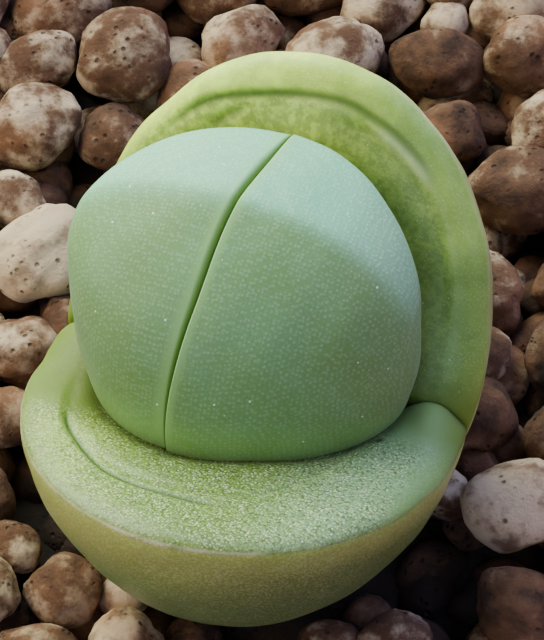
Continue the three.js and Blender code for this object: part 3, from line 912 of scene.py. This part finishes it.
# How far the cleft bends aside from its plane, in millimetres, by the same kind of degrees
BEND_TURNS = (0, 30, 38, 46, 54, 62, 72, 84, 95, 107, 120, 135, 150, 180, 200, 360)
BEND_SHIFTS = (0.2, 0.3, 0.2, 0.07, -0.05, -0.14, -0.2, -0.22, -0.2, -0.15, -0.07, -0.01, -0.02, 0.0,
               0.05, 0.2)

# The skin turns into crown over these distances from the ridge and at these heights, in millimetres
CROWN_STEPS = {LEFT: ((-1.4, 1.1), (7, 11)), RIGHT: ((-0.9, 0.8), (7.5, 12.5))}
BAND_WIDTHS = {LEFT: 1.1, RIGHT: 0.6}


def of_new_leaf(pair, side, key):
    return getattr(pair, ("left_" if side == LEFT else "right_") + key)


def cleft_across(pair):
    """Level direction square to the plane of the new cleft."""
    return np.array([math.cos(pair.cleft_turn), -math.sin(pair.cleft_turn), 0])


def exit_distance(directions, heart, centre, radii, yaw=0.0, roll=0.0, lean=0.0):
    """Distance from the heart to the skin of a turned ellipsoid."""
    def turned(v):
        across = v[:, 0] * math.cos(yaw) + v[:, 1] * math.sin(yaw)
        depth = v[:, 1] * math.cos(yaw) - v[:, 0] * math.sin(yaw)
        x = across * math.cos(roll) - v[:, 2] * math.sin(roll)
        z = across * math.sin(roll) + v[:, 2] * math.cos(roll)
        y = depth * math.cos(lean) + z * math.sin(lean)
        return np.c_[x, y, -depth * math.sin(lean) + z * math.cos(lean)] / np.array(radii)
    start = turned((np.array(heart) - np.array(centre))[None, :])
    step = turned(directions)
    a = (step * step).sum(1)
    b = (step * start).sum(1)
    c = (start * start).sum() - 1
    return (-b + np.sqrt(b * b - a * c)) / a


def pair_distances(directions, pair, side):
    """Distances from the heart to the front, the crown's and the flanks' ellipsoids."""
    return (
        exit_distance(directions, pair.heart, pair.front_centre, of_new_leaf(pair, side, "radii"),
                      yaw=of_new_leaf(pair, side, "yaw")),
        exit_distance(directions, pair.heart, pair.crown_centre, pair.crown_radii,
                      roll=pair.crown_roll, lean=pair.crown_lean),
        exit_distance(directions, pair.heart, pair.flank_centre, pair.flank_radii, yaw=pair.flank_yaw),
    )


def ridge_gauge(places, pair, side):
    """Signed distance to the plane of the ridge, positive on the crown."""
    return places @ np.array(of_new_leaf(pair, side, "ridge")) - of_new_leaf(pair, side, "ridge_offset")


def pair_radius(directions, pair, side):
    """Distance from the heart to the skin, the bodies joined and the ridge raised."""
    power = pair.sharpness
    total = sum((d / MM) ** -power for d in pair_distances(directions, pair, side))
    radius = total ** (-1 / power) * MM
    places = np.array(pair.heart) + directions * radius[:, None]
    gauge = ridge_gauge(places, pair, side)
    reach = np.where(gauge > 0, pair.crown_reach, pair.front_reach)
    away = np.sqrt(gauge ** 2 + pair.ridge_softness ** 2) - pair.ridge_softness
    rise = pair.ridge_rise * np.clip(1 - away / reach, 0, 1) ** 2
    return radius + rise * ramp(places[:, 2], 8, 12)


def pair_gap(places, pair):
    """How far points lie outside the new pair's skin, along lines from its heart."""
    away = places - np.array(pair.heart)
    size = np.linalg.norm(away, axis=1)
    directions = away / size[:, None]
    radius = np.where(places @ cleft_across(pair) < pair.cleft_offset,
                      pair_radius(directions, pair, LEFT), pair_radius(directions, pair, RIGHT))
    return size - radius


def crown_share(places, pair, side):
    """How much of the skin at each point belongs to the crown rather than to the front."""
    from_ridge, heights = CROWN_STEPS[side]
    return ramp(ridge_gauge(places, pair, side), *from_ridge) * ramp(places[:, 2], *heights)


def pair_exit(start, directions, pair, side):
    """Distance from a point inside the pair to its surface, found by halving."""
    heart = np.array(pair.heart)
    low = np.zeros(len(directions))
    high = np.full(len(directions), 40 * MM)
    for _ in range(HALVINGS):
        middle = (low + high) / 2
        away = start + directions * middle[:, None] - heart
        size = np.linalg.norm(away, axis=1)
        outside = size > pair_radius(away / size[:, None], pair, side)
        high = np.where(outside, middle, high)
        low = np.where(outside, low, middle)
    return low


def cleft_bend(places, along, to_wall):
    """How far to shift points near the cleft aside, so that it curves a little."""
    turns = np.degrees(np.arctan2(places[:, 2], places @ along)) % 360
    height = np.hypot(places[:, 2], places @ along)
    return np.interp(turns, BEND_TURNS, BEND_SHIFTS) * ramp(height, 0, 5) * MM * hill(to_wall, 4)


def round_margin(points, spokes, round_turn, to_wall, full):
    """Draws the skin in towards the cleft, so that the leaf's edge there is rounded."""
    shares = np.interp(np.degrees(round_turn), MARGIN_TURNS, MARGIN_SHARES)
    margin = full * np.concatenate([[1], np.tile(shares, NEW_LEAF_RINGS)])
    over = np.clip(margin - to_wall, 0, margin)
    inset = margin - np.sqrt(margin ** 2 - over ** 2)
    inward = np.concatenate([np.zeros((1, 3)), np.tile(spokes, (NEW_LEAF_RINGS, 1))])
    return points - inward * inset[:, None]


def new_leaf_mesh(side, pair, leaf):
    """Points, faces and what new_leaf_finish needs to know at each point."""
    across = cleft_across(pair)
    along = np.array([-across[1], across[0], 0])
    upward = np.array([0, 0, 1.0])
    heart = np.array(pair.heart)
    wall = pair.cleft_offset + side * pair.cleft_width / 2
    start = heart + across * (wall - heart @ across)
    outward = side * across
    # Rings lie closer together towards the cleft
    steps = np.arange(1, NEW_LEAF_RINGS + 1) / NEW_LEAF_RINGS
    polar = 0.5 * math.pi * (1.25 * steps - 0.25 * steps ** 5)
    round_turn = np.linspace(0, 2 * math.pi, NEW_LEAF_SECTORS, endpoint=False)
    spokes = np.cos(round_turn)[:, None] * along + np.sin(round_turn)[:, None] * upward
    directions = np.concatenate([outward[None, :]]
                                + [math.cos(u) * outward + math.sin(u) * spokes for u in polar])
    points = start + directions * pair_exit(start, directions, pair, side)[:, None]
    points = round_margin(points, spokes, round_turn, (points - start) @ outward,
                          of_new_leaf(pair, side, "margin"))
    last_ring = points[-NEW_LEAF_SECTORS:]
    wall_rings = [start + (last_ring - start) * share for share in np.linspace(1, 0, WALL_RINGS + 1)[1:-1]]
    points = np.concatenate([points, *wall_rings, start[None, :]])
    faces = outward_faces(points, capped_rings(NEW_LEAF_RINGS + WALL_RINGS - 1, NEW_LEAF_SECTORS))
    normals = vertex_normals(points, faces)
    outer = np.arange(len(points)) <= NEW_LEAF_RINGS * NEW_LEAF_SECTORS
    to_wall = (points - start) @ outward
    waver = waves_of_skin(points, NEW_LEAF_WAVES, side) * outer * ramp(to_wall, 0, 1.5)
    points = points + normals * waver[:, None]
    points = points + across * cleft_bend(points - start, along, to_wall)[:, None]
    height = points[:, 2]
    # The crown share grows as the skin faces up, so it is partly painted light that makes the top paler
    crown = crown_share(points, pair, side) * smoothstep(normals[:, 2], 0.05, 0.4)
    over_face = height * math.sin(leaf.front_tilt) + points[:, 1] * math.cos(leaf.front_tilt)
    width = BAND_WIDTHS[side]
    band = (1 - ramp(to_wall, 0.3 * width, width)) * (0.35 + 0.65 * ramp(height, 2, 10))
    lit_edge = 0.5 * hill(to_wall, 0.06) * ramp(height, 5, 13) * outer
    return points + upward * leaf.cleft_height, faces, {
        "bloom_and_painted_light": 0.2 * ramp(height, 2, 14) + 0.72 * crown,
        # Painted light with a greener flesh, low on the pair over the front leaf's face
        "foot_green_and_painted_light": 1 - ramp(over_face, 0.5, 3.5),
        "crown": crown,
        "far_side": ramp(points[:, 0], 2.5, 8.5),
        "wall": np.where(outer, smoothstep(-normals @ outward, 0.1, 0.75), 1.0),
        "band": np.where(outer, band, 0.0),
        "edge": lit_edge if side == RIGHT else np.zeros(len(points)),
    }


# Stones

# Place, length, width, turn about Z and lift of a stone, in metres and radians
Stone = namedtuple("Stone", "x y length width turn lift")

# Blunt facets, lumps and dents of a stone's form, against its half size; a lump has its height, spacing
# and the step of its seed
FACETS = 9
FACET_REACH = (0.86, 1.06)
FACET_POWER = 7.0
CORE = 0.93
LUMPS = ((0.045, 1.1, 1), (0.02, 0.4, 2))
DENTS = 3
DENT_DEPTHS = (0.03, 0.1)
DENT_SPREADS = (0.01, 0.05)
FULLNESS = 1.03

# Scattered stones: least width and its range against the length, and how far up or down they lie in
# millimetres
LEAST_WIDTH = 0.76
WIDTH_RANGE = 0.2
LIFT_RANGE = 0.7

# Stones between and below the others, and the bed under them all, in millimetres
FILLER_SPACING = 3.6
FILLER_SIZES = (3.4, 4.8)
FILLER_LIFTS = (-0.8, 0.5)
FILLER_SINK = 1.6
FILLER_WALL_GAP = 2.2
OPEN_SPOT_SINK = 1.2
BED_SINK = 2.4
BED_SECTORS = 96

# Their jitter and rows against the spacing, their width against the length, and how pale they are
FILLER_JITTER = 0.35
FILLER_ROWS = 0.87
FILLER_WIDTH = 0.85
FILLER_TONES = (0.1, 0.65)
BED_TONE = 0.1
BED_SHADE = 0.85


class SeededDraw:
    def __init__(self, seed):
        self.state = seed

    def next(self):
        self.state = (self.state * 16807) % 2147483647
        return self.state / 2147483647


def pot_inner_radius(height, pot):
    top = pot.rim_radius - pot.wall
    bottom = pot.base_radius - pot.wall + 1.5 * MM
    return bottom + (top - bottom) * (height - pot.floor) / (pot.height - pot.floor)


def in_open_spot(x, y, radius):
    return any(math.hypot(x - spot_x * MM, y - spot_y * MM) < spot_size * MM + radius
               for spot_x, spot_y, spot_size in OPEN_SPOTS)


def stone_fits(stone, stones, look, leaf, pot):
    radius = (stone.length + stone.width) / 4
    wall = pot_inner_radius(look.bed_top, pot) - look.fill_gap - 0.58 * stone.length
    if math.hypot(stone.x, stone.y) > wall:
        return False
    for other in stones:
        reach = look.crowding * (radius + (other.length + other.width) / 4)
        if math.hypot(stone.x - other.x, stone.y - other.y) < reach:
            return False
    if in_open_spot(stone.x, stone.y, radius):
        return False
    height = look.bed_top + look.lift + stone.lift
    for k in range(8):
        edge_x = stone.x + radius * math.cos(k * math.pi / 4)
        edge_y = stone.y + radius * math.sin(k * math.pi / 4)
        if in_any_leaf(leaf, edge_x, edge_y, height, look.plant_margin):
            return False
    return not in_any_leaf(leaf, stone.x, stone.y, height, look.keel_margin)


def scattered_stones(look, leaf, pot):
    draw = SeededDraw(look.seed)
    stones = [Stone(x * MM, y * MM, size * MM, width * MM, math.radians(turn), lift * MM)
              for x, y, size, width, turn, lift, _ in SHOWN_STONES]
    for attempt in range(look.attempts):
        radius = pot_inner_radius(look.bed_top, pot) * math.sqrt(draw.next())
        bearing = 2 * math.pi * draw.next()
        size = look.largest - (look.largest - look.smallest) * (attempt / look.attempts) ** 0.5
        width = size * (LEAST_WIDTH + WIDTH_RANGE * draw.next())
        turn = math.pi * draw.next()
        lift = (2 * LIFT_RANGE * draw.next() - LIFT_RANGE) * MM
        stone = Stone(radius * math.cos(bearing), radius * math.sin(bearing), size, width, turn, lift)
        if stone_fits(stone, stones, look, leaf, pot):
            stones.append(stone)
    return stones


def stone_form(directions, seed):
    """Distance from a stone's middle to its skin: blunt facets, rounded, with dents and lumps."""
    draws = np.random.RandomState(seed)
    facets = draws.normal(size=(FACETS, 3))
    facets /= np.linalg.norm(facets, axis=1)[:, None]
    reach = draws.uniform(*FACET_REACH, size=FACETS)
    gauge = np.ones(len(directions)) * CORE ** FACET_POWER
    for facet, far in zip(facets, reach):
        gauge += np.maximum(0, directions @ facet / far) ** FACET_POWER
    form = gauge ** (-1 / FACET_POWER)
    form += sum(height * swell(directions, spacing, seed + step) for height, spacing, step in LUMPS)
    for _ in range(DENTS):
        dent = draws.normal(size=3)
        dent /= np.linalg.norm(dent)
        nearness = 1 - directions @ dent
        form -= draws.uniform(*DENT_DEPTHS) * np.exp(-(nearness / draws.uniform(*DENT_SPREADS)) ** 2)
    return form * FULLNESS


def stone_mesh(stone, middle_height, flatness, ball_points, seed):
    height = flatness * (stone.length + stone.width) / 2
    form = stone_form(ball_points, seed)
    u = ball_points[:, 0] * form * stone.length / 2
    v = ball_points[:, 1] * form * stone.width / 2
    return np.c_[
        stone.x + u * math.cos(stone.turn) - v * math.sin(stone.turn),
        stone.y + u * math.sin(stone.turn) + v * math.cos(stone.turn),
        middle_height + stone.lift + ball_points[:, 2] * form * height / 2,
    ]


def gather(parts):
    """Joins meshes that each have one tone and one depth of shade."""
    starts = np.cumsum([0] + [len(points) for points, _, _, _ in parts])
    points = np.concatenate([part[0] for part in parts])
    faces = np.concatenate([part[1] + start for part, start in zip(parts, starts)])
    marks = {key: np.concatenate([np.full(len(part[0]), part[place]) for part in parts])
             for key, place in (("tone", 2), ("deep", 3))}
    return points, faces, marks


# Pot

POT_SECTORS = 180
CORNER_STEPS = 6
LONGEST_STRETCH = 2 * MM


def pot_profile(pot):
    """Outline of the pot's section, with the radius of each corner."""
    band_bottom = pot.height - pot.band_height
    band_radius = pot.rim_radius - 1 * MM
    neck = band_radius - pot.band_step
    edge = pot.edge
    return (
        (pot.drain_radius, 0, 0.3 * MM),
        (pot.base_radius, 0, edge),
        (neck, band_bottom, 0.6 * MM),
        (band_radius, band_bottom, edge),
        (pot.rim_radius, pot.height, 1.6 * edge),
        (pot.rim_radius - pot.wall, pot.height, 1.6 * edge),
        (pot_inner_radius(pot.floor, pot), pot.floor, 2 * MM),
        (pot.drain_radius, pot.floor, 0.5 * MM),
    )


def rounded_outline(corners):
    outline = []
    count = len(corners)
    for k, (radius, height, rounding) in enumerate(corners):
        corner = np.array([radius, height])
        before = np.array(corners[k - 1][:2]) - corner
        after = np.array(corners[(k + 1) % count][:2]) - corner
        before /= np.linalg.norm(before)
        after /= np.linalg.norm(after)
        for t in np.linspace(0, 1, CORNER_STEPS):
            outline.append(corner + rounding * ((1 - t) ** 2 * before + t ** 2 * after))
    return np.array(outline)


def filled_outline(outline):
    """Adds points so that no stretch of the outline is too long."""
    dense = []
    for start, end in zip(outline, np.roll(outline, -1, axis=0)):
        steps = max(1, math.ceil(np.linalg.norm(end - start) / LONGEST_STRETCH))
        for k in range(steps):
            dense.append(start + (end - start) * k / steps)
    return np.array(dense)


def pot_mesh(pot):
    outline = filled_outline(rounded_outline(pot_profile(pot)))
    turn = np.linspace(0, 2 * math.pi, POT_SECTORS, endpoint=False)
    rings = []
    for radius, height in outline:
        rings.append(np.c_[radius * np.cos(turn), radius * np.sin(turn), np.full(POT_SECTORS, height)])
    points = np.concatenate(rings)
    faces = closed_rings(len(outline), POT_SECTORS)
    faces = outward_faces(points, faces)
    normals = vertex_normals(points, faces)
    standing = smoothstep(points[:, 2], 1 * MM, 6 * MM)
    waver = -np.abs(0.12 * MM * swell(points, 16 * MM, 71)) * standing
    return points + normals * waver[:, None], faces


# Operators

class LIVINGSTONE_OT_pot(bpy.types.Operator):
    """Turns the clay pot with its rim band, rounded edges and drain hole"""
    bl_idname = "livingstone.pot"
    bl_label = "Pot"

    def execute(self, context):
        look = context.scene.living_stone.pot
        points, faces = pot_mesh(look)
        make_piece("clay_pot", points, faces, clay_finish(look), ["pot"])
        return {"FINISHED"}


class LIVINGSTONE_OT_hidden_parts(bpy.types.Operator):
    """Gives the potting mix and the root their finishes"""
    bl_idname = "livingstone.hidden_parts"
    bl_label = "Mix and root"

    def execute(self, context):
        for node, material in (("potting_mix", mix_finish()), ("root_and_stem", root_finish())):
            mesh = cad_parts[node].data
            mesh.materials.clear()
            mesh.materials.append(material)
        return {"FINISHED"}


class LIVINGSTONE_OT_dressing(bpy.types.Operator):
    """Lays the stones round the plant, those between them and the bed that they lie in"""
    bl_idname = "livingstone.dressing"
    bl_label = "Stones"

    near_radius: FloatProperty(name="Near radius", description="Stones within it get more faces",
                               default=0.03, unit="LENGTH")

    def execute(self, context):
        scene_settings = context.scene.living_stone
        look, leaf, pot = scene_settings.dressing, scene_settings.old_leaf, scene_settings.pot
        material = stone_finish(look)
        stones = scattered_stones(look, leaf, pot)
        fine = ball(4)
        plain = ball(3)
        draws = np.random.RandomState(look.seed)
        near, far = [], []
        middle = look.bed_top + look.lift
        for index, stone in enumerate(stones):
            shown = index < len(SHOWN_STONES)
            tone = SHOWN_STONES[index][-1] if shown else draws.uniform(0.2, 0.8)
            close = shown or math.hypot(stone.x, stone.y) < self.near_radius
            ball_points, ball_faces = fine if close else plain
            points = stone_mesh(stone, middle, look.flatness, ball_points, 100 + 7 * index)
            (near if close else far).append((points, ball_faces, tone, 0.0))
        far += self.filler_stones(look, leaf, pot, plain, draws)
        far.append(self.bed(look, pot))
        for name, parts in (("stones_by_the_plant", near), ("stones_and_bed", far)):
            points, faces, attributes = gather(parts)
            make_piece(name, points, faces, material, ["grit_top_dressing"], attributes)
        return {"FINISHED"}

    def filler_stones(self, look, leaf, pot, plain, draws):
        """Smaller stones on a loose grid, which close the gaps except where a spot is left open."""
        parts = []
        spacing = FILLER_SPACING * MM
        middle = look.bed_top - FILLER_SINK * MM
        outer = pot_inner_radius(look.bed_top, pot) - look.fill_gap - FILLER_WALL_GAP * MM
        reach = int(outer / spacing) + 2
        for row in range(-reach, reach + 1):
            for column in range(-reach, reach + 1):
                jitter = draws.uniform(-FILLER_JITTER, FILLER_JITTER, size=2) * spacing
                x = (column + 0.5 * (row % 2)) * spacing + jitter[0]
                y = row * spacing * FILLER_ROWS + jitter[1]
                size = draws.uniform(*FILLER_SIZES) * MM
                turn = draws.uniform(0, math.pi)
                lift = draws.uniform(*FILLER_LIFTS) * MM
                seed = int(draws.randint(1, 100000))
                tone = draws.uniform(*FILLER_TONES)
                if math.hypot(x, y) > outer or in_any_leaf(leaf, x, y, middle + 1.5 * MM, 1 * MM):
                    continue
                # Painted shade: a stone sunk in an open spot takes the darkest tone
                if in_open_spot(x, y, 0.3 * size):
                    lift = -OPEN_SPOT_SINK * MM
                    tone = 0.0
                stone = Stone(x, y, size, FILLER_WIDTH * size, turn, lift)
                points = stone_mesh(stone, middle, look.flatness, plain[0], seed)
                parts.append((points, plain[1], tone, 0.0))
        return parts

    def bed(self, look, pot):
        top = look.bed_top - BED_SINK * MM
        turn = np.linspace(0, 2 * math.pi, BED_SECTORS, endpoint=False)
        circle = np.c_[np.cos(turn), np.sin(turn)]
        rings = []
        for height in (look.bed_bottom, top):
            radius = pot_inner_radius(height, pot) - look.fill_gap
            rings.append(np.c_[radius * circle, np.full(BED_SECTORS, height)])
        points = np.concatenate([[[0, 0, look.bed_bottom]], *rings, [[0, 0, top]]])
        faces = outward_faces(points, capped_rings(2, BED_SECTORS))
        return points, faces, BED_TONE, BED_SHADE


class LIVINGSTONE_OT_old_leaves(bpy.types.Operator):
    """Grows the two open leaves of the old pair, with the print of the new pair on their faces"""
    bl_idname = "livingstone.old_leaves"
    bl_label = "Old leaves"

    def execute(self, context):
        scene_settings = context.scene.living_stone
        shape = scene_settings.old_leaf
        material = old_leaf_finish(shape)
        for side, name, node in ((FRONT, "old_leaf_front", "outer_leaf_front"),
                                 (BACK, "old_leaf_back", "outer_leaf_back")):
            points, faces, attributes = old_leaf_mesh(side, shape, scene_settings.new_pair)
            make_piece(name, points, faces, material, [node], attributes)
        return {"FINISHED"}


class LIVINGSTONE_OT_new_leaves(bpy.types.Operator):
    """Grows the two leaves of the new pair on both sides of their cleft"""
    bl_idname = "livingstone.new_leaves"
    bl_label = "New leaves"

    def execute(self, context):
        scene_settings = context.scene.living_stone
        pair = scene_settings.new_pair
        material = new_leaf_finish(pair)
        for side, name, node in ((LEFT, "new_leaf_left", "inner_leaf_left"),
                                 (RIGHT, "new_leaf_right", "inner_leaf_right")):
            points, faces, attributes = new_leaf_mesh(side, pair, scene_settings.old_leaf)
            make_piece(name, points, faces, material, [node], attributes)
        return {"FINISHED"}


FLOOR_SIZE = 4
LIGHT_TARGET = (0, 0, 0.08)
# Soft lights: name, turn from +X and height in degrees, share of the power, tint
SOFT_LIGHTS = (
    ("key", 130, 40, 0.48, (0.88, 1.0, 0.9)),
    ("low_key", 125, 15, 0.26, (0.88, 1.0, 0.62)),
    ("left_light", 200, 40, 0.22, (1.0, 0.88, 0.6)),
    ("far_light", 60, 40, 0.2, (0.38, 0.48, 1.0)),
    ("right_light", 0, 35, 0.075, (0.72, 0.76, 1.0)),
    ("front_light", 270, 40, 0.085, (0.52, 0.66, 1.0)),
)


class LIVINGSTONE_OT_stage(bpy.types.Operator):
    """Sets the pale floor, the soft lights and the camera"""
    bl_idname = "livingstone.stage"
    bl_label = "Stage"

    def execute(self, context):
        scene_settings = context.scene.living_stone
        look = scene_settings.stage
        self.floor(look)
        self.lights(look)
        self.camera(look, scene_settings.old_leaf.cleft_height)
        return {"FINISHED"}

    def floor(self, look):
        bpy.ops.mesh.primitive_plane_add(size=FLOOR_SIZE)
        floor = bpy.context.object
        floor.name = "floor"
        floor.data.materials.append(floor_finish(look))

    def lights(self, look):
        world = bpy.data.worlds.new("studio")
        world.use_nodes = True
        sky = world.node_tree.nodes["Background"]
        sky.inputs["Color"].default_value = opaque(SKY)
        sky.inputs["Strength"].default_value = look.sky_strength
        bpy.context.scene.world = world
        for name, turn, height, share, tint in SOFT_LIGHTS:
            light = bpy.data.lights.new(name, "AREA")
            light.size = look.light_size
            light.energy = share * look.light_power
            light.color = tint
            lamp = bpy.data.objects.new(name, light)
            turn, height = math.radians(turn), math.radians(height)
            away = Vector((math.cos(turn) * math.cos(height), math.sin(turn) * math.cos(height),
                           math.sin(height)))
            lamp.location = Vector(LIGHT_TARGET) + look.light_distance * away
            lamp.rotation_euler = (-away).to_track_quat("-Z", "Y").to_euler()
            bpy.context.scene.collection.objects.link(lamp)

    def camera(self, look, cleft_height):
        azimuth, elevation = look.azimuth, look.elevation
        level_right = Vector((math.cos(azimuth), math.sin(azimuth), 0))
        level_away = Vector((-math.sin(azimuth), math.cos(azimuth), 0))
        backward = math.sin(elevation) * Vector((0, 0, 1)) - math.cos(elevation) * level_away
        upward = math.sin(elevation) * level_away + math.cos(elevation) * Vector((0, 0, 1))
        right = math.cos(look.roll) * level_right - math.sin(look.roll) * upward
        up = math.sin(look.roll) * level_right + math.cos(look.roll) * upward
        pivot = Vector((0, 0, cleft_height))
        eye = pivot + backward * look.distance
        aim = pivot + right * look.aim_right + up * look.aim_up
        behind = (eye - aim).normalized()
        side = up.cross(behind).normalized()
        rotation = Matrix((side, behind.cross(side), behind)).transposed().to_4x4()
        lens = bpy.data.cameras.new("photo_camera")
        lens.sensor_width = 36
        lens.lens = look.lens
        lens.clip_start = 0.01
        lens.clip_end = 10
        camera = bpy.data.objects.new("photo_camera", lens)
        camera.matrix_world = Matrix.Translation(eye) @ rotation
        bpy.context.scene.collection.objects.link(camera)
        bpy.context.scene.camera = camera


class LIVINGSTONE_PT_panel(bpy.types.Panel):
    bl_idname = "LIVINGSTONE_PT_panel"
    bl_label = "Living Stone"
    bl_space_type = "VIEW_3D"
    bl_region_type = "UI"
    bl_category = "Living Stone"

    def draw(self, context):
        for operator in OPERATORS:
            self.layout.operator(operator.bl_idname)
        scene_settings = context.scene.living_stone
        for part in ("old_leaf", "new_pair", "dressing", "pot", "stage"):
            box = self.layout.box()
            group = getattr(scene_settings, part)
            for key in group.__annotations__:
                box.prop(group, key)


OPERATORS = (
    LIVINGSTONE_OT_pot,
    LIVINGSTONE_OT_hidden_parts,
    LIVINGSTONE_OT_dressing,
    LIVINGSTONE_OT_old_leaves,
    LIVINGSTONE_OT_new_leaves,
    LIVINGSTONE_OT_stage,
)
GROUPS = (OldLeafSettings, NewPairSettings, DressingSettings, PotSettings, StageSettings,
          LivingStoneSettings)
CLASSES = (*GROUPS, *OPERATORS, LIVINGSTONE_PT_panel)


def register():
    for part in CLASSES:
        bpy.utils.register_class(part)
    bpy.types.Scene.living_stone = PointerProperty(type=LivingStoneSettings)


def unregister():
    del bpy.types.Scene.living_stone
    for part in reversed(CLASSES):
        bpy.utils.unregister_class(part)


def main():
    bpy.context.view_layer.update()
    register()
    bpy.ops.livingstone.pot()
    bpy.ops.livingstone.hidden_parts()
    bpy.ops.livingstone.dressing()
    bpy.ops.livingstone.old_leaves()
    bpy.ops.livingstone.new_leaves()
    bpy.ops.livingstone.stage()


if __name__ == "__main__":
    main()
